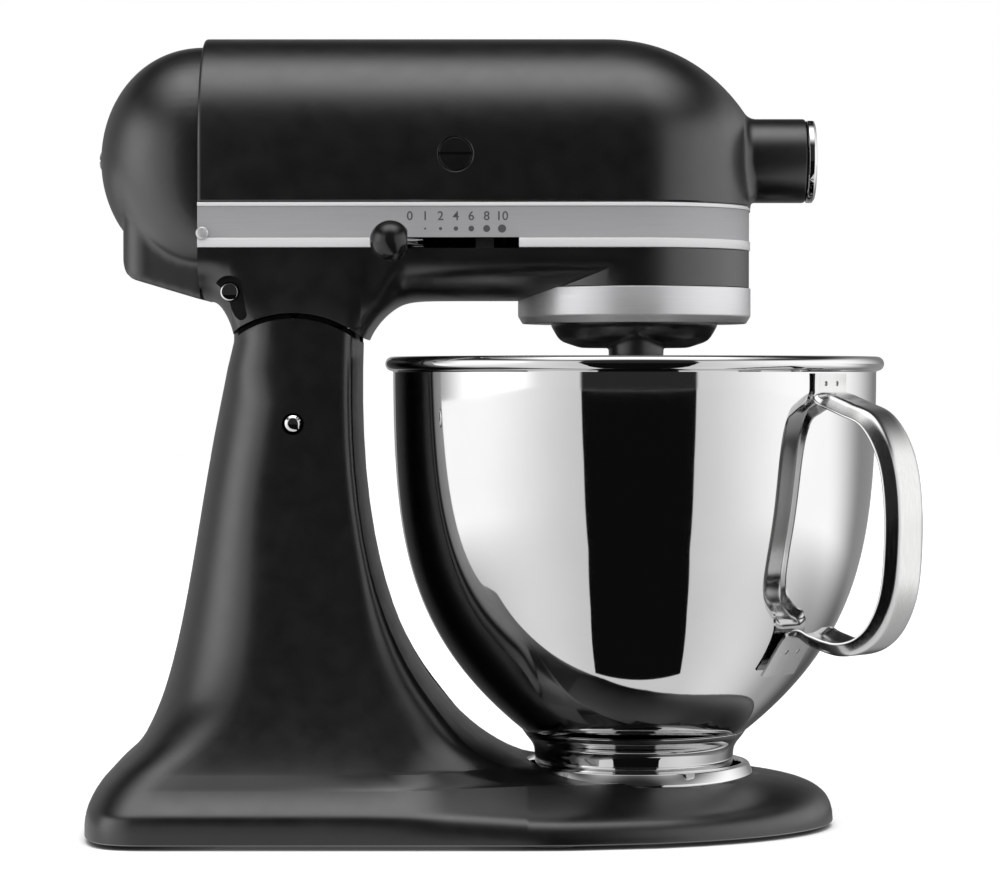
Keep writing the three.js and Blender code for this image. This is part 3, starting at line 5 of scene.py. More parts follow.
import bpy
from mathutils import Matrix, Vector


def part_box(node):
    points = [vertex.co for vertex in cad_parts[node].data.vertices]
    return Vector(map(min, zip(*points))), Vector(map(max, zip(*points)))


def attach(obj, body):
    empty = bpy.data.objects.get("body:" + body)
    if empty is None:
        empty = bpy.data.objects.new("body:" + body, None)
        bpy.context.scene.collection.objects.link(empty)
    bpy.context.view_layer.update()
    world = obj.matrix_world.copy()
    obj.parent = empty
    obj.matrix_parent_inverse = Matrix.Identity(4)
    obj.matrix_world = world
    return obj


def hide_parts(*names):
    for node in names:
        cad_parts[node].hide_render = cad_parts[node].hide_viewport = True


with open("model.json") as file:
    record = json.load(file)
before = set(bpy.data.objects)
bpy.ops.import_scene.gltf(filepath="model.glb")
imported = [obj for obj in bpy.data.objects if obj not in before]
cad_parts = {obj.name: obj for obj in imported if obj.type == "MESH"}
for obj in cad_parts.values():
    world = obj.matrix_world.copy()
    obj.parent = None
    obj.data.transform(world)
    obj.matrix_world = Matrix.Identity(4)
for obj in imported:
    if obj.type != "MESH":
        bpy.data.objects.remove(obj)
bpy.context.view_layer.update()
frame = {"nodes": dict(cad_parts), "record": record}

# A tilt-head stand mixer. Lengths are millimetres in the maker's drawing, where the
# bowl's axis stands at X 58, the head points to +X and the floor is Z 0.
bpy.ops.object.select_all(action="DESELECT")

MM = 0.001
BOWL_X = 58.0
BOWL_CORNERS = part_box("bowl")
HOME = (BOWL_CORNERS[0][0] + BOWL_CORNERS[1][0]) / 2 / MM - BOWL_X

# ---- driving sizes ----
GAP = 0.3
WALL = 5.0
PIN = (-92.7, 180.9)            # hinge pin of the head
PIN_R = 4.5
COLUMN_TOP_R = 46.0             # the column's round top, about the pin
CHEEK_IN = 17.3                 # half the slot that the head's tongue hangs in
DRIVE_Z = 298.4                 # motor and attachment hub
HEAD_REAR = -134.0
HEAD_R = 52.2                   # round front of the head
HEAD_TOP = 352.8
CROWN_Z = 300.0
BAND_LOW, BAND_HIGH = 257.8, 277.5
FIELD_LOW, FIELD_HIGH = 261.9, 275.8   # between the band's lips
SEAM_Z = 257.5
HULL_LOW = 235.6
HUB_R = 18.8
HUB_FACE = 134.5
HUB_HINGE = (HUB_FACE + 2.2, DRIVE_Z + HUB_R - 2.6)
ATTACHMENT_KNOB = (124.0, DRIVE_Z)
DRIP_TOP = 241.1
BEATER_Y = -22.0
LOCK = (-120.4, 238.6)
LOCK_R = 4.0
LOCK_AIM = atan2(PIN[1] - LOCK[1], PIN[0] - LOCK[0])
LOCK_TO_PIN = hypot(PIN[0] - LOCK[0], PIN[1] - LOCK[1])
UNDER_SCREW = (-6.8, 0.0)
TRIM_SCREW = (-131.8, 264.0)
TRIM_SCREW_HOLE_R = 1.8
BRUSH = (-21.7, DRIVE_Z)
SLOT = (-43.6, 6.0, 262.2)      # speed slot: from, to, top
DECK_Z = 24.5
WELL_R, WELL_Z, CLAMP_R = 50.4, 12.0, 53.8
FEET = [(-158, -60), (-158, 60), (20, -68), (20, 68), (124, 0)]
FOOT_R, FOOT_STEM_R = 11.5, 4.0
CLAMP_SCREW_R = 2.2
SCREWS = [(BOWL_X + 30 * cos(a), 30 * sin(a)) for a in map(radians, (45, 135, 225, 315))]


def at(x, y, z):
    """A place in the drawing, in metres."""
    return Vector(((x + HOME) * MM, y * MM, z * MM))


def clamp(value, low=0.0, high=1.0):
    return max(low, min(high, value))


def ease(value, start, end):
    """0 before start, 1 after end, and a smooth change between."""
    t = clamp((value - start) / (end - start))
    return t * t * (3 - 2 * t)


def span(side, near, far):
    """From near to far along Y, on either side of the middle plane."""
    return sorted((side * near, side * far))


def mix(a, b, share):
    return a + (b - a) * share


def sweep(start, end, steps):
    return [mix(start, end, i / steps) for i in range(steps + 1)]


def arc(centre, radius, start, end, steps):
    """Places round a centre from one angle to another, in degrees."""
    a, b = centre
    return [(a + radius * cos(turn), b + radius * sin(turn)) for turn in map(radians, sweep(start, end, steps))]


def bezier(points, t):
    a, b, c, d = (Vector(p) for p in points)
    s = 1 - t
    return a * s ** 3 + b * (3 * s * s * t) + c * (3 * s * t * t) + d * t ** 3


def last_where(holds, low, high):
    """The value up to which a condition holds."""
    for _ in range(40):
        middle = (low + high) / 2
        low, high = (middle, high) if holds(middle) else (low, middle)
    return (low + high) / 2


def first_at(points, level):
    """The first value of a curve where its second value reaches a level."""
    falling = points[0][1] > points[-1][1]
    return bezier(points, last_where(lambda t: (bezier(points, t)[1] > level) == falling, 0.0, 1.0))[0]


def soft_least(a, b, reach=2.0):
    """The lesser of two heights, with a soft change from one to the other."""
    least = min(a, b)
    return least - reach * log(exp((least - a) / reach) + exp((least - b) / reach))


def rounded(corners, steps=5):
    """A profile from (a, b, corner radius), with each corner rounded."""
    profile = []
    for i, (a, b, radius) in enumerate(corners):
        here = Vector((a, b))
        if not radius or i in (0, len(corners) - 1):
            profile.append(tuple(here))
            continue
        back = Vector(corners[i - 1][:2]) - here
        ahead = Vector(corners[i + 1][:2]) - here
        half = back.angle(ahead) / 2
        reach = min(radius / tan(half), 0.48 * back.length, 0.48 * ahead.length)
        start = here + back.normalized() * reach
        end = here + ahead.normalized() * reach
        middle = here + (back.normalized() + ahead.normalized()).normalized() * (reach / cos(half))
        first, last = start - middle, end - middle
        turn = first.angle_signed(last)
        for k in range(steps + 1):
            angle = -turn * k / steps
            c, s = cos(angle), sin(angle)
            profile.append((middle.x + first.x * c - first.y * s, middle.y + first.x * s + first.y * c))
    return profile


# ---- the workshop: one small function for each way of making a shape ----
def only(obj):
    bpy.ops.object.select_all(action="DESELECT")
    obj.select_set(True)
    bpy.context.view_layer.objects.active = obj


def settle(obj):
    """Puts an object's place into its mesh."""
    only(obj)
    bpy.ops.object.transform_apply(location=True, rotation=True, scale=True)
    return obj


def tidy_mesh(obj):
    """Merges doubles and turns all faces outwards."""
    only(obj)
    bpy.ops.object.mode_set(mode="EDIT")
    bpy.ops.mesh.select_all(action="SELECT")
    bpy.ops.mesh.remove_doubles(threshold=0.002 * MM)
    bpy.ops.mesh.normals_make_consistent(inside=False)
    bpy.ops.object.mode_set(mode="OBJECT")
    return obj


def turned(profile, centre, axis="Z", steps=96):
    """A profile of (radius, height) spun round an axis, as on a lathe."""
    way = {"X": Vector((1, 0, 0)), "Y": Vector((0, 1, 0)), "Z": Vector((0, 0, 1))}[axis]
    arm = Vector((1, 0, 0)) if axis == "Z" else Vector((0, 0, 1))
    hub = at(*centre)
    spots = [hub + (arm * r + way * h) * MM for r, h in profile]
    bpy.ops.mesh.primitive_plane_add(size=MM, location=spots[0])
    obj = bpy.context.object
    bpy.ops.object.mode_set(mode="EDIT")
    bpy.ops.mesh.select_all(action="SELECT")
    bpy.ops.mesh.merge(type="CENTER")
    for here, there in zip(spots, spots[1:]):
        bpy.ops.mesh.extrude_region_move(TRANSFORM_OT_translate={"value": there - here})
    bpy.ops.mesh.select_all(action="SELECT")
    bpy.ops.mesh.spin(steps=steps, angle=tau, center=hub, axis=way)
    bpy.ops.object.mode_set(mode="OBJECT")
    return tidy_mesh(settle(obj))


def skin(rings):
    """A closed surface through rings of places in the drawing."""
    count = len(rings[0])
    faces = [tuple(range(count)), tuple((len(rings) - 1) * count + j for j in reversed(range(count)))]
    for i in range(len(rings) - 1):
        for j in range(count):
            k = (j + 1) % count
            faces.append((i * count + k, i * count + j, (i + 1) * count + j, (i + 1) * count + k))
    mesh = bpy.data.meshes.new("skin")
    mesh.from_pydata([at(*place) for ring in rings for place in ring], [], faces)
    obj = bpy.data.objects.new("skin", mesh)
    bpy.context.collection.objects.link(obj)
    return tidy_mesh(obj)


def prism(axis, outline, start, end):
    """An outline extruded along an axis: (y, z) along X, (x, z) along Y, (x, y) along Z."""
    def lift(a, b, depth):
        return {"X": (depth, a, b), "Y": (a, depth, b), "Z": (a, b, depth)}[axis]
    return skin([[lift(a, b, depth) for a, b in outline] for depth in (start, end)])


def rod(axis, radius, start, end, centre, sides=64, end_radius=None):
    """A cylinder or cone along an axis; centre is what the axis leaves of x, y, z."""
    middle = (start + end) / 2
    a, b = centre
    place = {"X": (middle, a, b), "Y": (a, middle, b), "Z": (a, b, middle)}[axis]
    turn = {"X": (0, pi / 2, 0), "Y": (-pi / 2, 0, 0), "Z": (0, 0, 0)}[axis]
    far = radius if end_radius is None else end_radius
    bpy.ops.mesh.primitive_cone_add(
        vertices=sides, radius1=radius * MM, radius2=far * MM, depth=(end - start) * MM,
        location=at(*place), rotation=turn)
    return settle(bpy.context.object)


def block(x0, x1, y0, y1, z0, z1):
    bpy.ops.mesh.primitive_cube_add(
        size=1, location=at((x0 + x1) / 2, (y0 + y1) / 2, (z0 + z1) / 2),
        scale=((x1 - x0) * MM, (y1 - y0) * MM, (z1 - z0) * MM))
    return settle(bpy.context.object)


def ball(radius, centre, segments=48):
    bpy.ops.mesh.primitive_uv_sphere_add(
        segments=segments, ring_count=segments // 2, radius=radius * MM, location=at(*centre))
    return settle(bpy.context.object)


def combine(obj, operation, tools):
    for tool in tools:
        change = obj.modifiers.new(operation, "BOOLEAN")
        change.operation = operation
        change.solver = "EXACT"
        change.object = tool
        only(obj)
        bpy.ops.object.modifier_apply(modifier=change.name)
        bpy.data.objects.remove(tool)
    return obj


def cut(obj, *tools):
    return combine(obj, "DIFFERENCE", tools)


def weld(obj, *tools):
    return combine(obj, "UNION", tools)


def keep_common(obj, tool):
    return combine(obj, "INTERSECT", [tool])


def soften(obj, width, segments=2, angle=40):
    """Rounds the edges that are sharper than an angle."""
    edge = obj.modifiers.new("edge", "BEVEL")
    edge.width = width * MM
    edge.segments = segments
    edge.limit_method = "ANGLE"
    edge.angle_limit = radians(angle)
    edge.miter_outer = "MITER_ARC"
    only(obj)
    bpy.ops.object.modifier_apply(modifier=edge.name)
    return obj


def cast(obj, grain, passes):
    """Melts joined shapes into one casting with soft inner corners."""
    melt = obj.modifiers.new("melt", "REMESH")
    melt.mode = "VOXEL"
    melt.voxel_size = grain * MM
    flow = obj.modifiers.new("flow", "SMOOTH")
    flow.factor = 0.5
    flow.iterations = passes
    only(obj)
    bpy.ops.object.modifier_apply(modifier=melt.name)
    bpy.ops.object.modifier_apply(modifier=flow.name)
    return obj


def gathered(pieces):
    """Several closed shapes as one object."""
    bpy.ops.object.select_all(action="DESELECT")
    for piece in pieces:
        piece.select_set(True)
    bpy.context.view_layer.objects.active = pieces[0]
    bpy.ops.object.join()
    return pieces[0]


def finished(obj, name, body, material, slot, *nodes, angle=35):
    """Shades a piece, gives it its finish and ties it to the moving body it belongs to."""
    obj.name = name
    obj.data.name = name
    only(obj)
    bpy.ops.object.shade_smooth_by_angle(angle=radians(angle))
    obj.data.materials.clear()
    obj.data.materials.append(material)
    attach(obj, body)
    if nodes:
        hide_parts(*nodes)
    return obj


# ---- finishes ----
# A pattern's grain: its size, how far it is drawn out along each axis, and its detail.
Grain = namedtuple("Grain", "size_mm stretch detail", defaults=((1, 1, 1), 2.0))


def colour(code):
    """An sRGB hex colour as linear RGBA."""
    parts = [int(code[i:i + 2], 16) / 255 for i in (1, 3, 5)]
    return tuple(c / 12.92 if c <= 0.04045 else ((c + 0.055) / 1.055) ** 2.4 for c in parts) + (1.0,)


def add(tree, kind, inputs=None, **settings):
    """Adds a node with its settings, and links or values for its sockets."""
    node = tree.nodes.new(kind)
    for key, value in settings.items():
        setattr(node, key, value)
    for socket, value in (inputs or {}).items():
        if isinstance(value, bpy.types.NodeSocket):
            tree.links.new(value, node.inputs[socket])
        else:
            node.inputs[socket].default_value = value
    return node


def empty_material(name):
    material = bpy.data.materials.new(name)
    material.use_nodes = True
    material.node_tree.nodes.clear()
    return material, material.node_tree


def patterns(tree, *grains):
    """How dark or light each grain is, anywhere on the object."""
    where = add(tree, "ShaderNodeTexCoord").outputs["Object"]
    levels = []
    for size_mm, stretch, detail in grains:
        spread = add(tree, "ShaderNodeMapping", {"Vector": where, "Scale": [1 / s for s in stretch]})
        noise = add(tree, "ShaderNodeTexNoise", {
            "Vector": spread.outputs[0], "Scale": 1 / (size_mm * MM), "Detail": detail, "Roughness": 0.5})
        levels.append(noise.outputs[0])
    return levels


def surfaced(name, constants, tones, gloss, relief=None):
    """A material with two tones, two roughnesses and a relief in mm, each led by a grain of its own."""
    material, tree = empty_material(name)
    tone, shine = patterns(tree, tones[0], gloss[0])
    tint = add(tree, "ShaderNodeMix", {0: tone, 6: colour(tones[1]), 7: colour(tones[2])}, data_type="RGBA")
    rough = add(tree, "ShaderNodeMapRange", {
        "Value": shine, "From Min": 0.3, "From Max": 0.7, "To Min": gloss[1], "To Max": gloss[2]})
    inputs = {"Base Color": tint.outputs[2], "Roughness": rough.outputs[0], **constants}
    if relief:
        grain, strength, depth_mm = relief
        height, = patterns(tree, grain)
        bump = add(tree, "ShaderNodeBump", {"Height": height, "Strength": strength, "Distance": depth_mm * MM})
        inputs["Normal"] = bump.outputs[0]
    shader = add(tree, "ShaderNodeBsdfPrincipled", inputs)
    add(tree, "ShaderNodeOutputMaterial", {"Surface": shader.outputs[0]})
    return material


def enamel_black():
    """Matt powder-sprayed black enamel on die-cast zinc: a faint orange peel and soft gloss."""
    return surfaced(
        "sprayed_enamel_matt_black", {"Metallic": 0.0, "IOR": 1.5, "Specular IOR Level": 1.0},
        (Grain(22), "#050506", "#090909"), (Grain(9), 0.3, 0.35), (Grain(1.4), 0.25, 0.02))


def plastic_black():
    """Injection-moulded phenolic, polished: glossy black with a trace of flow marks."""
    return surfaced(
        "moulded_phenolic_black", {"Metallic": 0.0, "IOR": 1.5, "Specular IOR Level": 0.5},
        (Grain(5), "#0f0f10", "#151516"), (Grain(3), 0.16, 0.22), (Grain(2.5), 0.15, 0.02))


def rubber():
    """Moulded nitrile rubber: dark grey, dull, with a fine moulded grain."""
    return surfaced(
        "moulded_rubber", {"Metallic": 0.0, "IOR": 1.52, "Specular IOR Level": 0.35},
        (Grain(4), "#202021", "#2b2b2c"), (Grain(1), 0.7, 0.85), (Grain(0.6), 0.4, 0.05))


def polished_steel():
    """Mirror-polished stainless steel, with the faint haze that the buffing wheel leaves."""
    # A buffing wheel's marks are too fine to show, so they are drawn 1.2 mm wide.
    rub = Grain(1.2, (1, 1, 0.15), 3.0)
    return surfaced(
        "polished_stainless_steel", {"Metallic": 1.0},
        (Grain(30), "#d0d0d0", "#d8d8d8"), (rub, 0.025, 0.05), (Grain(34, detail=1.0), 0.1, 0.15))


def brushed_steel():
    """Stainless strip, brushed along its length: fine streaks under a satin gloss."""
    # The real streaks are too fine to show, so they are drawn half a millimetre wide.
    streak = Grain(0.5, (1, 1, 30), 3.0)
    return surfaced(
        "brushed_stainless_steel", {"Metallic": 1.0},
        (streak, "#bdbdbc", "#d6d6d5"), (streak, 0.12, 0.2), (streak, 0.12, 0.02))


def trim_silver():
    """Pressed aluminium band: two bright lips and a satin lacquered field between them."""
    material, tree = empty_material("lacquered_aluminium_trim")
    # The rolling lines of the strip are drawn half a millimetre wide to show.
    streak, = patterns(tree, Grain(0.5, (40, 40, 1)))
    where = add(tree, "ShaderNodeTexCoord").outputs["Object"]
    height = add(tree, "ShaderNodeSeparateXYZ", {"Vector": where}).outputs["Z"]
    above = add(tree, "ShaderNodeMath", {0: height, 1: FIELD_LOW * MM}, operation="GREATER_THAN")
    under = add(tree, "ShaderNodeMath", {0: height, 1: FIELD_HIGH * MM}, operation="LESS_THAN")
    between = add(tree, "ShaderNodeMath", {0: above.outputs[0], 1: under.outputs[0]}, operation="MULTIPLY")
    field = between.outputs[0]
    lips, satin = (add(tree, "ShaderNodeMix", {0: streak, 6: colour(dark), 7: colour(light)}, data_type="RGBA")
                   for dark, light in (("#d4d4d5", "#dededf"), ("#9a9a9c", "#a2a2a4")))
    tint = add(tree, "ShaderNodeMix", {0: field, 6: lips.outputs[2], 7: satin.outputs[2]}, data_type="RGBA")
    metal, rough = (add(tree, "ShaderNodeMapRange", {"Value": field, "To Min": on_lips, "To Max": on_field})
                    for on_lips, on_field in ((0.05, 0.1), (0.3, 0.45)))
    bump = add(tree, "ShaderNodeBump", {"Height": streak, "Strength": 0.08, "Distance": 0.02 * MM})
    shader = add(tree, "ShaderNodeBsdfPrincipled", {
        "Base Color": tint.outputs[2], "Metallic": metal.outputs[0], "Roughness": rough.outputs[0],
        "Normal": bump.outputs[0]})
    add(tree, "ShaderNodeOutputMaterial", {"Surface": shader.outputs[0]})
    return material


def spun_silver():
    """Spun aluminium, satin: fine rings round the axis."""
    # The spinning tool's rings are too fine to show, so they are drawn half a millimetre wide.
    rings = Grain(0.5, (40, 40, 1))
    return surfaced(
        "spun_aluminium_satin", {"Metallic": 0.6},
        (rings, "#cbcbcd", "#dadadb"), (rings, 0.3, 0.4), (rings, 0.1, 0.02))


def cast_silver():
    """Burnished cast aluminium: soft grey, tumbled, with shallow dimples."""
    return surfaced(
        "burnished_cast_aluminium", {"Metallic": 0.9},
        (Grain(6), "#b0b1b3", "#c0c1c2"), (Grain(3), 0.36, 0.46), (Grain(2), 0.25, 0.05))


def machined_steel():
    """Turned mild steel, oiled: grey with tool marks."""
    # A lathe leaves finer marks than can show, so they are drawn 0.6 mm wide.
    marks = Grain(0.6, (1, 8, 8))
    return surfaced(
        "machined_mild_steel", {"Metallic": 1.0},
        (marks, "#8b8c8e", "#a2a3a4"), (marks, 0.28, 0.4), (marks, 0.15, 0.03))


def bronze():
    """Sintered bronze: warm, oil-dark in patches, and porous, with its pores drawn coarse to show."""
    return surfaced(
        "sintered_bronze", {"Metallic": 1.0},
        (Grain(2), "#8a6233", "#b08348"), (Grain(1), 0.35, 0.5), (Grain(0.5), 0.3, 0.04))


def copper():
    """Enamelled copper wire wound in layers: dark orange with fine ridges along the shaft."""
    wires = Grain(0.9, (20, 1, 1), 1.0)
    return surfaced(
        "enamelled_copper_windings", {"Metallic": 0.8},
        (wires, "#6e3416", "#a65a2c"), (wires, 0.3, 0.5), (wires, 0.6, 0.2))


def carbon():
    """Pressed electrographite: nearly black, dull, with a faint metallic speckle, drawn coarse to show."""
    return surfaced(
        "pressed_graphite", {"Metallic": 0.2}, (Grain(0.6), "#1f2022", "#34353a"), (Grain(1), 0.5, 0.65))


def printed_ink():
    """Pad-printed ink: dark grey, flat, slightly uneven where the pad lifted."""
    return surfaced(
        "pad_printed_ink", {"Metallic": 0.0, "IOR": 1.45},
        (Grain(1), "#474749", "#525254"), (Grain(0.5), 0.5, 0.6))


ENAMEL, PHENOLIC, RUBBER = enamel_black(), plastic_black(), rubber()
MIRROR, BRUSHED, TRIM = polished_steel(), brushed_steel(), trim_silver()
SPUN, CAST, MACHINED = spun_silver(), cast_silver(), machined_steel()
BRONZE, COPPER, CARBON, INK = bronze(), copper(), carbon(), printed_ink()

# The working parts inside keep their own shapes; each gets the finish of its material slot.
SLOT_FINISH = {
    "casting_black": ENAMEL, "plastic_black": PHENOLIC, "rubber_foot": RUBBER, "steel_polished": MIRROR,
    "steel_brushed": BRUSHED, "trim_silver": CAST, "steel_machined": MACHINED, "bronze": BRONZE,
    "copper_winding": COPPER, "carbon": CARBON,
}
for part in frame["record"]["subparts"]:
    node = frame["nodes"][part["node"]]
    node.data.materials.clear()
    node.data.materials.append(SLOT_FINISH[part["material_slot"]])

# ---- pedestal ----
SHOULDER_Z, BASE_HALF = 14.5, 88.7
SIDE_LINE = [(45, 217), (46, 150), (58, 40), (88, 14.5)]
BACK_LINE = [(-120.7, 218), (-138.2, 156), (-140.8, 73.6), (-163, 38)]
HEEL_LINE = [(-163, 38), (-176, 29.5), (-184.5, 18), (-184.5, 6)]
FRONT_LINE = [(-62.8, 216), (-66, 130), (-50, 40), (26, 28)]
TOE_LINE = [(0, 3), (0, 14), (5, 22.5), (38, 24.5)]


def mirrored(half):
    """A half outline from the middle plane round to the middle plane, with its other half."""
    return half + [(x, -y) for x, y in reversed(half) if abs(y) > 1e-6]


def pedestal_back(z):
    return first_at(BACK_LINE, z) if z > 38 else first_at(HEEL_LINE, max(z, 6.01))


def pedestal_half(z):
    """Upright to the shoulder, which is rounded, and then a sweep up into the column."""
    swept = first_at(SIDE_LINE, max(z, SHOULDER_Z + 0.01)) + 1.16 * max(0.0, SHOULDER_Z - z)
    upright = BASE_HALF - 0.7 * z / SHOULDER_Z
    return soft_least(swept, upright, 1.2)


def pedestal_plan(z, wall=0.0, deck=False):
    """Half the pedestal's outline at a height, from the rear to the front."""
    height = min(z, 216.5)
    half = pedestal_half(height) - wall
    spread = 5 * ease(height, 8, 30) * (1 - ease(height, 60, 90))
    back = sum(pedestal_back(height + spread * k / 3) for k in range(-3, 4)) / 7 + wall
    corner = 26 + 6 * ease(height, 214, 185) + 12 * ease(height, 160, 70) - 5 * ease(height, 55, 31)
    power = 2 / (3.8 - 1.5 * ease(height, 26, 62) + 0.7 * ease(height, 190, 212))
    if deck:
        corner, power = 40 - 14 * height / 217, 2 / (4 - clamp((height - 8) / 110))
    half_line = []
    for i in range(22):
        angle = pi / 2 * i / 22
        half_line.append((back + corner * (1 - cos(angle) ** power), half * sin(angle) ** power))
    front = first_at(FRONT_LINE, max(height, 28.01)) - wall
    crown = 4.5 + 18 * clamp(1 - (height - 28) / 34) ** 2
    crease = 10.0 if deck else front - crown
    tip = 147.5 - first_at(TOE_LINE, max(height, 3.01)) - wall if deck else front
    reach = 1 if deck else 5 + 11 * ease(height, 130, 50)
    edge = 1 - 0.8 * reach / half
    recess = 0 if deck else 0.9 * ease(height, 31, 34)
    half_line += [(mix(back + corner, crease - 18, i / 8), half) for i in range(8)]
    face = []
    for across in sweep(edge, 0, 13):
        if deck:
            ahead = sqrt(1 - across ** 2)
        else:
            ahead = 1 - across ** 2
        face.append((mix(crease, tip, ahead) - recess, half * across))
    start, turn = Vector((crease - reach, half)), Vector((crease, half))
    end = Vector((face[0][0] + recess, face[0][1]))
    for t in (0, 0.2, 0.4, 0.6, 0.8, 1):
        half_line.append(tuple(start * (1 - t) ** 2 + turn * (2 * t * (1 - t)) + end * t ** 2))
    half_line += face[:-1] + [(tip - recess, 0.0)]
    waist = 0.27 * clamp((height - 8) / (DECK_Z - 8)) ** 1.5
    if height > DECK_Z:
        waist = (0.27 + 0.25 * ease(height, 50, 28)) * ease(height, 75, DECK_Z)
    return [(x, y * (1 - waist * ease(x, -50, 25))) for x, y in half_line]


def pedestal_ring(z, wall=0.0, deck=False, level=None):
    return [(x, y, z if level is None else level) for x, y in mirrored(pedestal_plan(z, wall, deck))]


def deck_rings():
    """The flat deck runs up into the column's foot, gently at the sides and shortly at the front."""
    foot = pedestal_plan(31.0)
    edge = pedestal_plan(DECK_Z, deck=True)
    rings = []
    for share in (0.95, 0.9, 0.85, 0.78, 0.7, 0.6, 0.45, 0.3, 0.15):
        half = []
        for j, (a, b) in enumerate(zip(edge, foot)):
            power = 1 + 0.8 * ease(j, 24, 34) + 3.2 * ease(j, 33, 49)
            half.append((mix(a[0], b[0], share), mix(a[1], b[1], share), DECK_Z + 6.5 * share ** power))
        rings.append(half + [(x, -y, z) for x, y, z in reversed(half) if abs(y) > 1e-6])
    return rings


def pedestal():
    column = [232, 217, 205, 190, 175, 160, 145, 130, 118, 108, 98, 90, 82, 75, 68, 62, 57, 52, 48, 44,
              41, 38.5, 36, 34, 32.5, 31]
    toe = [DECK_Z, 24.3, 24, 23.5, 22.8, 22, 21, 20, 19, 18, 17.2, 16.5, 15.9, 15.3, 14.7, 14, 13.2,
           12, 10, 7, 4, 2.6]
    rings = [pedestal_ring(z) for z in column] + deck_rings()
    rings += [pedestal_ring(z, deck=True) for z in toe]
    rings.append(pedestal_ring(2.6, 0.8, True, 2.0))
    body = skin(rings)
    x, z = PIN
    low = skin([pedestal_ring(v, WALL, True, v) for v in (16, 8, -1)])
    cut(low, rod("Z", WELL_R + WALL + 2, WELL_Z - WALL, DECK_Z, (BOWL_X, 0)),
        *[rod("Z", FOOT_R, 3 + GAP, DECK_Z, foot, 32) for foot in FEET])
    high = skin([pedestal_ring(max(v, 44), WALL, level=v) for v in (224, 217, 160, 120, 90, 70, 55, 44, 16)])
    cut(high, crown_block(z, COLUMN_TOP_R - WALL))
    cut(body, crown_block(z, COLUMN_TOP_R), low, high)
    cut(body, block(x - 25.4, x + 22.5, -CHEEK_IN, CHEEK_IN, 150, 240))
    for side in (-1, 1):
        weld(body, rod("Y", 12, *span(side, CHEEK_IN, 43), PIN))
    cut(body, rod("Y", PIN_R + GAP, -60, 60, PIN, 32), rod("Z", 3 + GAP, z + 30, z + 60, (x, -29), 32),
        rod("Z", CLAMP_R + GAP, DECK_Z - 3, 60, (BOWL_X, 0), 128),
        rod("Z", WELL_R, WELL_Z, 60, (BOWL_X, 0), 96))
    cut(body, *[rod("Z", FOOT_STEM_R + GAP, 0, 10, foot, 24) for foot in FEET],
        *[rod("Z", CLAMP_SCREW_R + GAP, WELL_Z - 4, WELL_Z + 5, screw, 24) for screw in SCREWS])
    return body


def crown_block(z, radius):
    """What stands above the round top of the column."""
    ribs = [rod("Y", radius + 2.1, *span(side, 20, 32), PIN, 192) for side in (-1, 1)]
    return cut(block(-190, 10, -91, 91, z, 262), rod("Y", radius, -92, 92, PIN, 192), *ribs)


finished(pedestal(), "pedestal_casting", "base", ENAMEL, "casting_black", "pedestal")

# ---- feet, clamp plate and hinge ----
for number, (x, y) in enumerate(FEET, 1):
    pad = turned(rounded([
        (0, 0, 0), (FOOT_R, 0, 1.4), (FOOT_R, 3, 0.4), (FOOT_STEM_R, 3, 0), (FOOT_STEM_R, 9, 0.8), (0, 9, 0)]),
        (x, y, 0), steps=48)
    finished(pad, f"foot_pad_{number}", "base", RUBBER, "rubber_foot", f"foot_{number}")


def clamp_plate():
    wall = WELL_R - GAP
    plate = turned(rounded([
        (0, 12.3, 0), (wall, 12.3, 0.6), (wall, 21.8, 0), (CLAMP_R, 21.8, 0.5), (CLAMP_R, 23.6, 1.2),
        (51.6, 28.7, 1.6), (48.4, 29.1, 1.6), (48.1, 26.5, 1.5), (48.1, 14.3, 1.5), (0, 14.3, 0)]),
        (BOWL_X, 0, 0), steps=128)
    return cut(plate, *[rod("Z", CLAMP_SCREW_R + GAP, 0, 40, screw, 24) for screw in SCREWS])


finished(clamp_plate(), "clamp_plate", "base", MIRROR, "steel_polished", "bowl_clamp_plate")

for number, (x, y) in enumerate(SCREWS, 1):
    screw = turned(rounded([
        (0, 9, 0), (CLAMP_SCREW_R, 9, 0.4), (CLAMP_SCREW_R, 14.6, 0), (4, 14.6, 0.3), (3.4, 15.9, 0.8),
        (0, 16.2, 0)]),
        (x, y, 0), steps=32)
    cut(screw, block(x - 0.5, x + 0.5, y - 5, y + 5, 15.4, 17), block(x - 5, x + 5, y - 0.5, y + 0.5, 15.4, 17))
    finished(screw, f"clamp_plate_screw_{number}", "base", MACHINED, "steel_machined", f"clamp_screw_{number}")

pin = turned(rounded([
    (0, -47.2, 0), (2.6, -46.9, 2), (PIN_R, -45.4, 1.2), (PIN_R, 45.4, 1.2), (2.6, 46.9, 2), (0, 47.2, 0)]),
    (PIN[0], 0, PIN[1]), "Y", 48)
finished(pin, "hinge_pin_domed", "base", MIRROR, "steel_polished", "hinge_pin")

height_screw = turned(rounded([
    (0, 218.8, 0), (3, 218.8, 0.4), (3, 227.8, 0.6), (0, 227.8, 0)]), (PIN[0], -29, 0), steps=32)
cut(height_screw, block(PIN[0] - 0.5, PIN[0] + 0.5, -34, -24, 226.6, 229))
finished(height_screw, "beater_height_adjuster", "base", MACHINED, "steel_machined", "beater_height_screw")

# ---- lower housing ----
NECK_FRONT = [(-20, 242), (-42, 238), (-58, 232), (-63.3, 214)]
NECK_BACK = [(-139, 242), (-126, 236), (-122, 226), (-119.5, 214)]


def head_half(x, radius=HEAD_R):
    """Half the head's width: a slight taper to the rear, and a round front."""
    if x <= BOWL_X:
        return mix(49.5, HEAD_R, (x - HEAD_REAR) / (BOWL_X - HEAD_REAR)) + radius - HEAD_R
    return sqrt(max(0, radius ** 2 - (x - BOWL_X) ** 2))


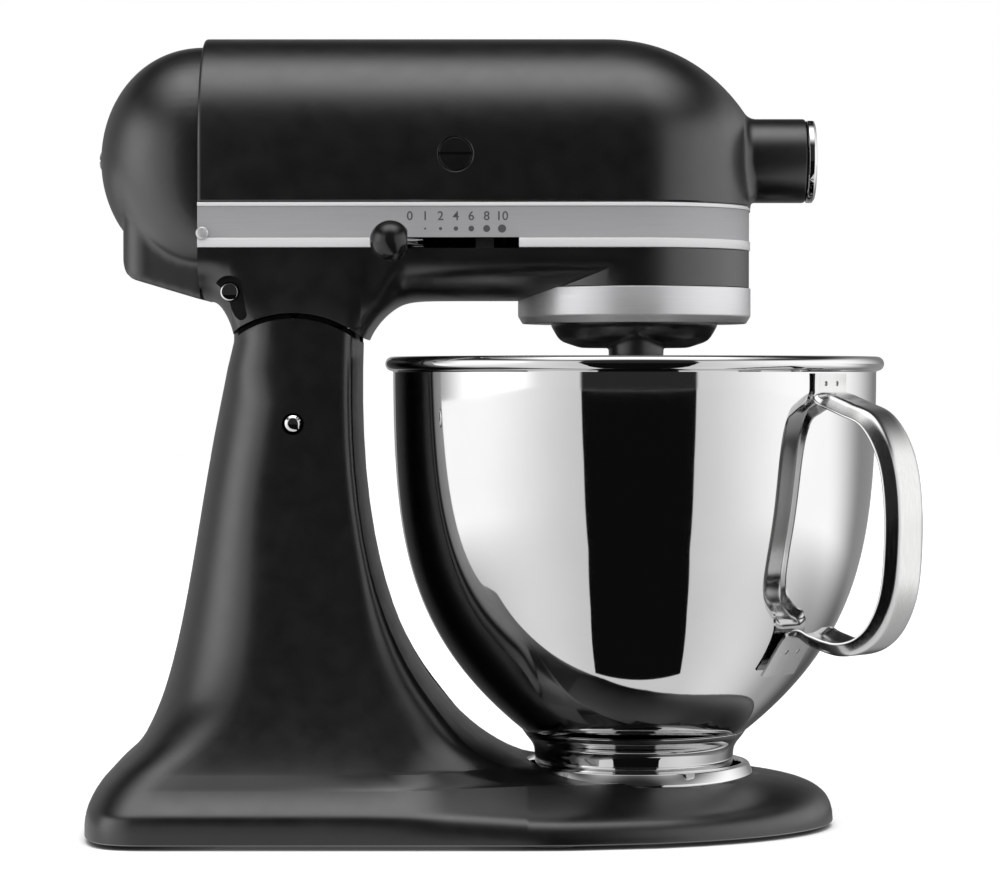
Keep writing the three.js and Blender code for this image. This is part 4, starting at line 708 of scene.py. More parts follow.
def head_plan(inset, rear=HEAD_REAR, steps=32):
    radius = HEAD_R - inset
    half = [(mix(rear, BOWL_X, i / 8), head_half(mix(rear, BOWL_X, i / 8), radius)) for i in range(8)]
    half += [(BOWL_X + radius * sin(a), radius * cos(a)) for a in sweep(0, pi / 2, steps)[:-1]]
    return mirrored(half + [(BOWL_X + radius, 0.0)])


def across_head(x, half):
    """A section at x, from half of it that ends in the middle plane."""
    return [(x, y, z) for y, z in half + [(-y, z) for y, z in reversed(half[:-1])]]


def hull_ring(x, low):
    """The head's section below the seam: a round belly that squares up where it becomes the neck."""
    neck = ease(x, -122, -104) * (1 - ease(x, -62, -44))
    half = head_half(x) - 0.7
    power = 2 / (2.3 + 4.2 * neck)
    ring = [(half, SEAM_Z), (half, SEAM_Z - 3)]
    for angle in sweep(0, pi / 2, 26)[1:]:
        deep = sin(angle) ** power
        wide = half * (1 - 0.075 * deep * neck)
        ring.append((max(0.0, wide * max(0.0, cos(angle)) ** power), mix(SEAM_Z - 3, low, deep)))
    ring[-1] = (0.0, low)
    return across_head(x, ring)


def hull_rings():
    rings = [(HEAD_REAR, HULL_LOW)]
    for t in sweep(0, 1, 24):
        x, z = bezier(NECK_BACK, t)
        if x > HEAD_REAR + 0.5:
            rings.append((x, soft_least(HULL_LOW, z, 1.5)))
    rings += [(x, 211) for x in (-116, -110, -104, -92, -80, -70)]
    for t in sweep(1, 0, 28):
        x, z = bezier(NECK_FRONT, t)
        rings.append((x, soft_least(HULL_LOW, z, 1.5)))
    rings += [(x, HULL_LOW) for x in (-10, 10, 30, 44, BOWL_X)]
    return [hull_ring(x, low) for x, low in rings]


def lock_room():
    """The room that the finger of the lock shaft sweeps."""
    aim, reach = LOCK_AIM, LOCK_TO_PIN - COLUMN_TOP_R + 2
    swing, spread = radians(35), 0.24

    def polar(radius, angle):
        return (LOCK[0] + radius * cos(angle), LOCK[1] + radius * sin(angle))
    fan = [polar(reach, aim - spread + (swing + 2 * spread) * i / 6) for i in range(7)]
    outline = [polar(3.6, aim - pi / 2)] + fan + [polar(3.6, aim + swing + pi / 2)]
    return prism("Y", outline, 22, 30)


def tongue():
    """The tongue that hangs from the head into the pedestal's slot, round the hinge pin."""
    return prism("Y", arc(PIN, 18, 82, 424, 48) + arc(PIN, 57.4, 64, 82, 1), -16, 16)


def lock_recess():
    """A drop-shaped dish in the neck's side round the end of the lock shaft."""
    return prism("Y", arc(LOCK, 7, 40, 210, 20) + arc((-115.2, 228.8), 2.6, 220, 390, 12), -62, -43.4)


def lower_housing():
    wheel = (12.6183, 21.0)
    housing = skin(hull_rings())
    cut(housing, rod("Y", COLUMN_TOP_R + 2.4, -90, 90, PIN, 192),
        rod("Z", HEAD_R + GAP, 190, DRIP_TOP + GAP, (BOWL_X, 0), 160))
    weld(housing, rod("Z", HEAD_R - 0.7, DRIP_TOP + GAP, SEAM_Z, (BOWL_X, 0), 160))
    cut(housing, prism("Z", head_plan(WALL + 4, HEAD_REAR + 4), DRIP_TOP + 4, 270), lock_recess())
    weld(housing, rod("Z", 14, DRIP_TOP + 2, DRIP_TOP + 15, (BOWL_X, 0)),
         rod("Z", 9, DRIP_TOP + 2, DRIP_TOP + 16, wheel), tongue())
    return cut(housing, rod("Y", PIN_R + GAP, -60, 60, PIN, 32), rod("Z", 8 + GAP, 200, 280, (BOWL_X, 0)),
               rod("Z", 4 + GAP, DRIP_TOP + 7, 280, wheel, 32), rod("Y", LOCK_R + GAP, -60, 60, LOCK, 32),
               lock_room(), rod("Z", 3.6, 200, HULL_LOW + 2.2, UNDER_SCREW, 32),
               rod("Z", 1.8 + GAP, 200, HULL_LOW + 9, UNDER_SCREW, 24))


finished(lower_housing(), "lower_housing_casting", "head", ENAMEL, "casting_black", "lower_housing")

under_screw = turned(rounded([
    (0, 235.5, 0), (2.2, 235.6, 0.8), (3.2, 236.4, 0.5), (3.2, 237.5, 0), (1.8, 237.5, 0), (1.8, 244, 0.4),
    (0, 244, 0)]), (*UNDER_SCREW, 0), steps=32)
cut(under_screw, block(-7.2, -6.4, -4, 4, 234, 236.3), block(-10, -3, -0.4, 0.4, 234, 236.3))
finished(under_screw, "housing_screw_under", "head", MACHINED, "steel_machined", "housing_screw")

# ---- upper housing ----
NOSE_LINE = [(45, HEAD_TOP), (74, HEAD_TOP), (96, 338), (110, 316)]
SKIRT = 2.7                    # the part behind the trim band is drawn in by this


def nose_top(x):
    if x <= 45:
        return HEAD_TOP
    return first_at([(z, x_) for x_, z in NOSE_LINE], min(x, 109.95))


def crown_ring(x, wall, foot, inset=0.0):
    half = max(head_half(x, HEAD_R - wall) - inset, 0.02)
    top = nose_top(x) - wall - inset
    ring = [(max(half - 0.5, 0.01), foot), (half, foot + 0.6)]
    for angle in sweep(0, pi / 2, 26):
        ring.append((half * max(0.0, cos(angle)) ** 0.98, CROWN_Z + (top - CROWN_Z) * sin(angle) ** 0.98))
    ring[-1] = (0.0, top)
    return across_head(x, ring)


def crown_rings(wall, foot, rear):
    front = HEAD_R - wall
    soft_edge = [(0, 1.2), (0.2, 0.65), (0.55, 0.28), (1.1, 0.06), (1.8, 0)]
    rings = [(rear, 0)] if wall else [(rear + ahead, inset) for ahead, inset in soft_edge]
    rings += [(x, 0) for x in (-90, -40, 0, 30, 45, 48, 51, 54)]
    rings += [(BOWL_X + front * sin(a), 0) for a in map(radians, sweep(0, 90, 30))]
    return [crown_ring(x, wall, foot, inset) for x, inset in rings]


def nose_at(y, z):
    """Where the nose's surface stands, along the hub's direction."""
    def inside(x):
        rise = clamp((z - CROWN_Z) / (nose_top(x) - CROWN_Z)) if z > CROWN_Z else 0.0
        return abs(y) < head_half(x) * sqrt(max(0.0, 1 - rise ** 2)) and z < nose_top(x)
    return last_where(inside, 60.0, BOWL_X + HEAD_R)


def hub_flare():
    """The round hub, with a cast fillet that runs out into the nose."""
    rings = []
    count = 96
    for i in range(count):
        angle = tau * i / count
        side, up = cos(angle), sin(angle)
        blend = 6.5
        if up < -0.1:
            blend = min(blend, max(1.2, (DRIVE_Z - BAND_HIGH - GAP - 0.1) / -up - HUB_R))
        line = [(nose_at(side * r, DRIVE_Z + up * r), r) for r in (HUB_R + blend * k / 12 for k in range(25))]
        centre_r = HUB_R + blend
        centre = last_where(lambda c: min(hypot(x - c, r - centre_r) for x, r in line) < blend, 90.0, 130.0)
        touch = min(line, key=lambda p: hypot(p[0] - centre, p[1] - centre_r))
        end = atan2(touch[0] - centre, -(touch[1] - centre_r))
        stop = end + radians(7)
        column = [(84.0, 10.0)]
        out = (centre + blend * sin(stop), centre_r - blend * cos(stop))
        dive = (cos(stop), sin(stop))
        column.append((out[0] - 3 * dive[0], out[1] - 3 * dive[1]))
        for share in sweep(1, 0, 9):
            a = stop * share
            column.append((centre + blend * sin(a), centre_r - blend * cos(a)))
        column += [(HUB_FACE - 1.2, HUB_R), (HUB_FACE - 0.5, HUB_R - 0.15), (HUB_FACE - 0.1, HUB_R - 0.6),
                   (HUB_FACE, HUB_R - 1.2)]
        rings.append([(x, side * r, DRIVE_Z + up * r) for x, r in column])
    return skin([[rings[i][k] for i in range(count)] for k in range(len(rings[0]))])


def upper_housing():
    hinge_x, hinge_z = HUB_HINGE
    face = head_half(BRUSH[0])
    housing = skin(crown_rings(0, BAND_HIGH + GAP, HEAD_REAR))
    weld(housing, prism("Z", head_plan(SKIRT), SEAM_Z + GAP, BAND_HIGH + 1), hub_flare())
    cut(housing, skin(crown_rings(WALL, BAND_HIGH - 2, HEAD_REAR - 1)),
        prism("Z", head_plan(SKIRT + WALL - 1, HEAD_REAR - 1), SEAM_Z - 1, BAND_HIGH))
    for side in (-1, 1):
        weld(housing, block(HUB_FACE - 1, hinge_x + 1.6, *span(side, 3.4, 6), hinge_z - 1.6, hinge_z + 1.2))
        start_r, end_r = (7.5, 8.5)[::side]
        cut(housing, rod("Y", start_r, *span(side, face - 0.6, face + 0.5), BRUSH, 64, end_r),
            rod("Y", TRIM_SCREW_HOLE_R, *span(side, 30, 60), TRIM_SCREW, 24))
    return cut(housing, rod("X", 11, 90, HUB_FACE + 1, (0, DRIVE_Z), 96),
               rod("Y", 7.6, -60, 60, BRUSH, 64), rod("Y", 1.1, -20, 20, HUB_HINGE, 24),
               rod("Y", 3 + GAP, 5, 40, ATTACHMENT_KNOB, 32),
               block(SLOT[0], SLOT[1], -60, -30, SEAM_Z - 1, SLOT[2]))


finished(upper_housing(), "upper_housing_casting", "head", ENAMEL, "casting_black", "upper_housing")

# ---- trim band ----
def band_path(inset):
    """Places and outward directions along the head's side, from the rear on one hand round to the other."""
    radius = HEAD_R - inset
    lean = atan2(HEAD_R - 49.5, BOWL_X - HEAD_REAR)
    half = [((x, head_half(x, radius)), (-sin(lean), cos(lean))) for x in sweep(HEAD_REAR, BOWL_X - 3, 9)]
    half += [((BOWL_X + radius * sin(a), radius * cos(a)), (sin(a), cos(a)))
             for a in sweep(0.02, pi / 2, 40)]
    return half + [((x, -y), (nx, -ny)) for (x, y), (nx, ny) in reversed(half[:-1])]


def trim_band():
    face = rounded([
        (-2.0, BAND_LOW, 0), (0.0, BAND_LOW, 0.5), (0.0, FIELD_LOW, 0.35), (-0.5, FIELD_LOW + 0.2, 0.1),
        (-0.5, FIELD_HIGH - 0.2, 0.1), (0.0, FIELD_HIGH, 0.35), (0.0, BAND_HIGH, 0.5), (-2.0, BAND_HIGH, 0)], 3)
    rings = [[(x + nx * out, y + ny * out, z) for out, z in face] for (x, y), (nx, ny) in band_path(0.2)]
    band = skin(rings)
    return cut(band, block(SLOT[0], SLOT[1], -60, -30, BAND_LOW - 1, SLOT[2]),
               rod("Y", TRIM_SCREW_HOLE_R, -60, 60, TRIM_SCREW, 24))


finished(trim_band(), "trim_band_pressed", "head", TRIM, "trim_silver", "trim_band")

for side, hand in ((-1, "near"), (1, "far")):
    face = head_half(TRIM_SCREW[0]) - 0.2
    profile = [(r, side * (face + h)) for r, h in rounded([
        (0, -7, 0), (1.5, -7, 0.3), (1.5, 0.3, 0), (3, 0.3, 0.3), (2.5, 1.5, 0.9), (0, 1.9, 0)])]
    screw = turned(profile, (TRIM_SCREW[0], 0, TRIM_SCREW[1]), "Y", 40)
    finished(screw, f"trim_screw_domed_{hand}", "head", SPUN, "trim_silver", f"trim_screw_{hand}")

    face = head_half(BRUSH[0]) - 0.4
    profile = [(r, side * (face + h)) for r, h in rounded([
        (0, -3.6, 0), (7.3, -3.6, 0.3), (7.3, 0, 0.5), (0, 0.25, 0)])]
    cap = turned(profile, (BRUSH[0], 0, DRIVE_Z), "Y", 64)
    cut(cap, block(BRUSH[0] - 9, BRUSH[0] + 9, *span(side, face - 1.2, face + 1), DRIVE_Z - 0.7, DRIVE_Z + 0.7))
    finished(cap, f"brush_cap_slotted_{hand}", "head", PHENOLIC, "plastic_black", f"brush_cap_{hand}")


def on_band(x):
    """How far out the band's field stands at a place along it."""
    return -(head_half(x) - 0.7)


def speed_scale():
    """The numbers of the speeds, and dots that grow with the speed."""
    marks = []
    places = sweep(-41.5, -1.4, 6)
    for number, x in zip((0, 1, 2, 4, 6, 8, 10), places):
        bpy.ops.object.text_add(location=at(x, on_band(x) - 0.02, 269.6), rotation=(pi / 2, 0, 0))
        text = bpy.context.object
        text.data.body = str(number)
        text.data.size = 5.5 * MM
        text.data.align_x = "CENTER"
        text.data.extrude = 0.03 * MM
        text.data.offset = 0.06 * MM
        only(text)
        bpy.ops.object.convert(target="MESH")
        marks.append(settle(bpy.context.object))
    for k, x in enumerate(places[1:]):
        marks.append(rod("Y", 0.45 + 0.265 * k, on_band(x) - 0.05, on_band(x) + 0.1, (x, 265.9), 32))
    return gathered(marks)


finished(speed_scale(), "speed_scale_print", "head", INK, "plastic_black")

# ---- speed lever ----
KNOB = (-49.3, -72.0, 259.7)
LEVER_LOW, LEVER_HIGH = 258.4, 261.0
lever = prism("Z", [
    (-42.6, -38.1), (-110, -38.1), (-110, -41.1), (-42.6, -42.1), (-42.6, -53.5), (-51.9, -69), (-46.7, -71),
    (-35.6, -55.5), (-35.6, -38.1)], LEVER_LOW, LEVER_HIGH)
soften(lever, 0.4, 2)
finished(lever, "speed_lever_arm", "speed_control", MIRROR, "steel_polished", "speed_lever")

knob = ball(8.8, KNOB, 96)
cut(knob, block(KNOB[0] - 10, KNOB[0] + 10, KNOB[1] + 0.8, KNOB[1] + 10, LEVER_LOW - GAP, LEVER_HIGH + GAP),
    block(KNOB[0] + 7.4, KNOB[0] + 10, KNOB[1] - 10, KNOB[1] + 10, KNOB[2] - 10, KNOB[2] + 10))
soften(knob, 0.5, 3, 30)
finished(knob, "speed_lever_knob", "speed_control", PHENOLIC, "plastic_black", "speed_knob")

# ---- lock ----
def lock_shaft():
    length = LOCK_TO_PIN - COLUMN_TOP_R - 0.6
    shaft = turned(rounded([(0, -45, 0), (LOCK_R, -45, 0.8), (LOCK_R, 55, 0.4), (0, 55, 0)]),
                   (LOCK[0], 0, LOCK[1]), "Y", 48)
    c, s = cos(LOCK_AIM), sin(LOCK_AIM)
    corners = [(0, -2.5), (length, -2.5), (length, 2.5), (0, 2.5)]
    outline = [(LOCK[0] + a * c - b * s, LOCK[1] + a * s + b * c) for a, b in corners]
    return weld(shaft, prism("Y", outline, 22.5, 29.5))


finished(lock_shaft(), "lock_shaft_round", "lock", MIRROR, "steel_polished", "lock_shaft")

lever_y = 55.3
lock_arm = rod("Y", 7, lever_y, lever_y + 4, LOCK, 48)
weld(lock_arm, prism("Y", [
    (LOCK[0], LOCK[1] - 4), (LOCK[0] + 27, LOCK[1] - 3), (LOCK[0] + 27, LOCK[1] + 3), (LOCK[0], LOCK[1] + 4)],
    lever_y, lever_y + 4))
soften(lock_arm, 0.6, 2)
finished(lock_arm, "lock_lever_arm", "lock", MACHINED, "steel_machined", "lock_lever")

centre = LOCK[0] + 29
lock_knob = ball(7, (centre, lever_y + 2, LOCK[1]))
cut(lock_knob, block(centre - 8, LOCK[0] + 27.3, lever_y - 0.3, lever_y + 4.3, LOCK[1] - 3.5, LOCK[1] + 3.5))
soften(lock_knob, 0.4, 2, 30)
finished(lock_knob, "lock_lever_knob", "lock", PHENOLIC, "plastic_black", "lock_knob")

# ---- rear end cover ----
TAIL_REAR = -169.6
GLAND_Z = 264.0
COVER_DEPTH = 47.2


def dome_rings(wall, lead=0.0):
    """The cover's dome: oval sections that close to a rounded rear."""
    depth = COVER_DEPTH - wall
    rings = []
    for share in [-lead / depth] + [sin(a) for a in sweep(0, pi / 2, 22)]:
        scale = max(0.03, sqrt(max(0.0, 1 - max(0.0, share) ** 2.15)))
        half, high, low = (45.9 - wall) * scale, (51.2 - wall) * scale, (50 - wall) * scale
        boxy = 2 / mix(4.5, 2, clamp(share * 1.3))
        ring = []
        for a in (tau * i / 72 for i in range(72)):
            power = boxy if sin(a) < 0 else 1
            across = copysign(abs(cos(a)) ** power, cos(a))
            rise = high * sin(a) if sin(a) >= 0 else -low * abs(sin(a)) ** power
            ring.append((HEAD_REAR - share * depth, half * across, 298 + rise))
        rings.append(ring)
    return rings


def tail(wall, lead=0.0):
    """The box under the dome where the cord goes in."""
    rear = TAIL_REAR + wall
    front = HEAD_REAR + lead
    wide, narrow = 34 - wall, 30.5 - wall
    round_r = 12
    corner = [(rear + round_r * (1 - sin(a)), narrow - round_r * (1 - cos(a))) for a in sweep(pi / 2, 0, 8)]
    plan = mirrored(corner + [(HEAD_REAR, wide), (front, wide)])
    side = [(front, 290), (HEAD_REAR, 290), (rear + 9, 286), (rear, 270),
            (rear, 252 + wall), (rear + 1.6, 247.5 + wall), (rear + 5, 244.6 + wall), (HEAD_REAR, 235.5 + wall),
            (front, 235.5 + wall)]
    return keep_common(prism("Z", plan, 200, 320), prism("Y", side, -70, 70))


def end_cover():
    cover = skin(dome_rings(0, 6))
    cast(weld(cover, tail(0, 6)), 0.9, 18)
    room = skin(dome_rings(3, 6))
    cut(cover, weld(room, tail(3, 6)), block(HEAD_REAR - GAP, HEAD_REAR + 20, -90, 90, 200, 400))
    return cut(cover, rod("X", 6.3, -175, -162, (0, GLAND_Z), 48), rod("X", 2.2, -183, -170, (0, DRIVE_Z), 32))


finished(end_cover(), "end_cover_casting", "head", ENAMEL, "casting_black", "end_cover")

cover_face = HEAD_REAR - COVER_DEPTH
cover_screw = turned(rounded([
    (0, cover_face - 0.7, 0), (3, cover_face - 0.6, 0.8), (4, cover_face - 0.1, 0.2), (4, cover_face + 0.1, 0),
    (1.9, cover_face + 0.1, 0), (1.9, -124.6, 0.3), (0, -124.6, 0)]), (0, 0, DRIVE_Z), "X", 40)
cut(cover_screw, block(cover_face - 3, cover_face - 0.2, -5, 5, DRIVE_Z - 0.5, DRIVE_Z + 0.5))
finished(cover_screw, "end_cover_screw_head", "head", MACHINED, "steel_machined", "end_cover_screw")

gland = turned(rounded([
    (3.6, -170.4, 0), (5.4, -170.4, 0.5), (6, -170.1, 0.2), (6, -168.4, 0), (7.5, -168.4, 0),
    (7.5, -166.4, 0.4), (6, -166.4, 0), (6, -162.4, 0.4), (3.6, -162.4, 0), (3.6, -170.4, 0)]),
    (0, 0, GLAND_Z), "X", 48)
finished(gland, "cord_entry_gland", "head", RUBBER, "rubber_foot", "cord_gland")

# ---- drip ring, planetary and beater ----
drip = turned(rounded([
    (49.2, 225.3, 0), (50.2, 225.3, 0.8), (52.2, 228.6, 2.2), (52.2, DRIP_TOP, 0.4), (46.3, DRIP_TOP, 0),
    (46.3, 238.7, 0), (49.2, 238.7, 0), (49.2, 225.3, 0)]), (BOWL_X, 0, 0), steps=160)
finished(drip, "drip_ring_spun", "head", SPUN, "trim_silver", "drip_ring")


def planetary():
    carrier = turned(rounded([
        (0, 214.5, 0), (24, 214.5, 4), (33.5, 217.6, 7), (37.5, 224.5, 4), (37.5, 227, 0), (0, 227, 0)]),
        (BOWL_X, 0, 0), steps=96)
    boss = turned(rounded([
        (0, 207, 0), (12, 207, 0.8), (12.2, 211, 0), (12.2, 222, 0), (0, 222, 0)]),
        (BOWL_X, BEATER_Y, 0), steps=64)
    cast(weld(carrier, boss), 0.7, 16)
    return cut(carrier, block(0, 120, -60, 60, 227 - 0.3, 240), rod("Z", 5.3, 190, 240, (BOWL_X, 0), 48),
               rod("Z", 6.5, 190, 240, (BOWL_X, BEATER_Y), 48))


finished(planetary(), "planetary_casting", "planetary_drive", ENAMEL, "casting_black", "planetary")


def flat_beater():
    """A cast paddle: a rounded frame with a middle rib and two slanting ribs, and a socket on top."""
    top, low, half = 203.5, 46.0, 58.0

    def frame_line(inset):
        points = []
        for angle in sweep(pi, tau, 28):
            points.append((BOWL_X + (half - inset) * cos(angle), low + inset + (72 - inset) * (1 + sin(angle))))
        neck = top - 17 - (10 if inset else 0)
        return points + [(BOWL_X + half - 8 - inset, top - 50), (BOWL_X + 9, neck), (BOWL_X - 9, neck),
                         (BOWL_X - half + 8 + inset, top - 50)]

    def slab(outline, deep):
        return prism("Y", outline, BEATER_Y - deep, BEATER_Y + deep)
    paddle = cut(slab(frame_line(0), 3.5), slab(frame_line(8), 5))
    weld(paddle, slab([(BOWL_X - 3.5, 50), (BOWL_X + 3.5, 50), (BOWL_X + 3.5, 187), (BOWL_X - 3.5, 187)], 2.5))
    for side in (-1, 1):
        rib = [(BOWL_X, 150), (BOWL_X, 142), (BOWL_X + side * 52, 116), (BOWL_X + side * 52, 124)]
        weld(paddle, slab(rib, 2.5))
    weld(paddle, rod("Z", 11, top - 17, top, (BOWL_X, BEATER_Y), 64))
    cut(paddle, rod("Z", 6.5, top - 40, top + 1, (BOWL_X, BEATER_Y), 48),
        block(BOWL_X - 9.2, BOWL_X + 9.2, BEATER_Y - 2.2, BEATER_Y + 2.2, top - 12, top - 2))
    return soften(paddle, 1.1, 3, 30)


finished(flat_beater(), "flat_beater_casting", "beater", CAST, "trim_silver", "flat_beater")

# ---- hub cover and attachment knob ----
back = HUB_FACE + GAP
cover = turned(rounded([
    (0, back, 0), (18.3, back, 0.3), (18.8, back + 0.6, 0.3), (18.8, back + 2.8, 0.5), (17.4, back + 3.9, 1.2),
    (3.4, 139.0, 0.5), (2.4, 139.1, 0.4), (0, 139.1, 0)]), (0, 0, DRIVE_Z), "X", 128)
cut(cover, block(HUB_FACE - 1, HUB_FACE + 9, -6.5, 6.5, HUB_HINGE[1] - 2.4, DRIVE_Z + 30))
weld(cover, block(HUB_FACE + 0.5, HUB_HINGE[0] + 1.6, -3, 3, HUB_HINGE[1] - 4, HUB_HINGE[1] + 0.6),
     rod("Y", 1.7, -3, 3, HUB_HINGE, 32))
cut(cover, rod("Y", 1, -10, 10, HUB_HINGE, 24))
finished(cover, "hub_cover_disc", "hub_lid", MIRROR, "steel_polished", "hub_cover")

grip = []
for a in sweep(0, tau, 120)[:-1]:
    r = 8.25 + 0.25 * cos(12 * a)       # twelve flutes
    grip.append((ATTACHMENT_KNOB[0] + r * cos(a), DRIVE_Z + r * sin(a)))
side_knob = prism("Y", grip, HUB_R + 3.6, HUB_R + 15.6)
weld(side_knob, rod("Y", 6, HUB_R + 0.6, HUB_R + 4, ATTACHMENT_KNOB, 48),
     rod("Y", 3, 12, HUB_R + 3, ATTACHMENT_KNOB, 32))
soften(side_knob, 0.7, 3, 50)
finished(side_knob, "attachment_knob_fluted", "knob", PHENOLIC, "plastic_black", "attachment_knob")

# ---- bowl ----
BOWL_LOW = 41.4
WALL_LINE = [(50.8, 43.6), (103.7, 86.9), (107.6, 130.8), (108.3, 200)]


def wall_place(t, inward=0.0):
    here, ahead = bezier(WALL_LINE, t), bezier(WALL_LINE, min(1, t + 0.001)) - bezier(WALL_LINE, min(t, 0.999))
    way = ahead.normalized()
    return (here.x - way.y * inward, here.y + way.x * inward)


SHEET = 1.0                    # thickness of the bowl's steel
bead = arc((108.6, 207.3), 3.2, -88, 178, 18)
shell = [(0, BOWL_LOW), (37, BOWL_LOW)]
shell += rounded([(37, BOWL_LOW, 0), (46, BOWL_LOW, 5), wall_place(0) + (0,)])[1:-1]
shell += [wall_place(t) for t in sweep(0, 1, 40)] + [(108.3, 203.6)] + bead + [(107.3, 203.6)]
shell += [wall_place(t, SHEET) for t in sweep(1, 0, 40)] + [(r, BOWL_LOW + SHEET) for r in (45.6, 37, 0)]
bowl = turned([point[:2] for point in shell], (BOWL_X, 0, 0), steps=192)
finished(bowl, "mixing_bowl", "bowl_set", MIRROR, "steel_polished", "bowl")

ring = turned(rounded([
    (44.6, 15.6, 0), (44.5, 30, 8), (45, 36.2, 9), (48.6, 40.6, 9), (50.3, 43.0, 0.5), (49.6, 42.9, 0.3),
    (47.2, 41.1, 0), (42.2, 41.1, 0), (42.2, 39.4, 0), (42.6, 36, 0), (42.6, 15.6, 0), (44.6, 15.6, 0)]),
    (BOWL_X, 0, 0), steps=160)
finished(ring, "bowl_foot_ring", "bowl_set", MIRROR, "steel_polished", "bowl_foot")

# ---- bowl handle ----
HANDLE_AIM = radians(-42)       # where the handle stands round the bowl
HANDLE_LINE = [
    (108.85, 203), (108.85, 194.6), (111.1, 192), (121.3, 188), (132.3, 183.4), (140.5, 172.6), (145.1, 158),
    (146.5, 136), (144.5, 112), (138.5, 97), (129.5, 88.5), (117.5, 85.6), (104.5, 88.4), (97.2, 91.2)]


def spline(points, steps):
    """A smooth line through points, with small steps."""
    line = []
    for i in range(len(points) - 1):
        a, b = Vector(points[max(i - 1, 0)]), Vector(points[i])
        c, d = Vector(points[i + 1]), Vector(points[min(i + 2, len(points) - 1)])
        for k in range(steps):
            t = k / steps
            line.append(b + 0.5 * (
                (c - a) * t + (2 * a - 5 * b + 4 * c - d) * t * t + (3 * b - a - 3 * c + d) * t ** 3))
    return line + [Vector(points[-1])]


def strap_half(curl, thick=1.2):
    """Half the strip's section, from its middle to its rolled edge: its outer and its inner face."""
    outer, inner = [], []
    here, last = Vector((0.0, 0.0)), 0.0
    for along in (1, 4, 6.4, 7.4, 8.4, 9.4, 10.4, 12, 14, 14.4, 14.8, 15.2):
        for part in (0.125, 0.375, 0.625, 0.875):
            lean = strap_lean(mix(last, along, part)) * curl
            here += Vector((cos(lean), -sin(lean))) * (along - last) / 4 * mix(0.74, 1, curl)
        last, lean = along, strap_lean(along) * curl
        outer.append((here.x, here.y + thick))
        inner.append((here.x - thick * sin(lean), here.y + thick - thick * cos(lean)))
    return outer, inner


def strap_lean(along):
    return radians(56 * ease(along, 6.2, 10.4) + 55 * ease(along, 14, 15.2))


def towards_handle(out, across, z):
    """A place out from the bowl's axis towards the handle, and across that way."""
    return (BOWL_X + out * cos(HANDLE_AIM) - across * sin(HANDLE_AIM),
            out * sin(HANDLE_AIM) + across * cos(HANDLE_AIM), z)


def handle():
    """Steel strip with its edges turned in, bent into a grip, and flattened where it is welded to the bowl."""
    plate_low = [(first_at(WALL_LINE, z) + out, z) for z, out in ((88.6, 2.7), (72.5, 2.1))]
    line = spline(HANDLE_LINE + plate_low, 8)
    length = len(line) - 1
    shaped = []
    for i, point in enumerate(line):
        ahead = (line[min(i + 1, length)] - line[max(i - 1, 0)]).normalized()
        normal = Vector((-ahead.y, ahead.x))
        curl = ease(i, 7, 18) * (1 - ease(i, length - 20, length - 9))
        outer, inner = strap_half(curl)
        around = outer[::-1] + [(-w, n) for w, n in outer] + [(-w, n) for w, n in inner[::-1]] + inner
        ring = []
        for w, n in around:
            hug = w * w / (2 * point.x) if point.x < 112 else 0.0
            place = point + normal * (n + 1.8 * curl)
            ring.append(towards_handle(place.x - hug + 2.2 * curl, w, place.y))
        shaped.append(ring)
    strap = skin(shaped)
    for across in (-4, 4):
        for z, proud in ((198.6, 1.6), (82.5, 3.3)):
            # a dimple from a spot weld
            cut(strap, ball(1.1, towards_handle(first_at(WALL_LINE, z) + proud, across, z), 20))
    return strap


finished(handle(), "bowl_handle_strip", "bowl_set", BRUSHED, "steel_brushed", "bowl_handle", angle=50)

# ---- studio ----
def reckoned(tree, known, rows):
    """Works values out with nodes. A row has a name, an operation and its terms: numbers or known names.
    RISE goes smoothly from 0 to 1 as its first term goes from the second to the third."""
    for name, operation, *terms in rows:
        terms = [known[term] if isinstance(term, str) else term for term in terms]
        if operation == "RISE":
            sockets = dict(zip(("Value", "From Min", "From Max"), terms))
            node = add(tree, "ShaderNodeMapRange", sockets, interpolation_type="SMOOTHSTEP")
        else:
            node = add(tree, "ShaderNodeMath", dict(enumerate(terms)), operation=operation)
        known[name] = node.outputs[0]
    return known


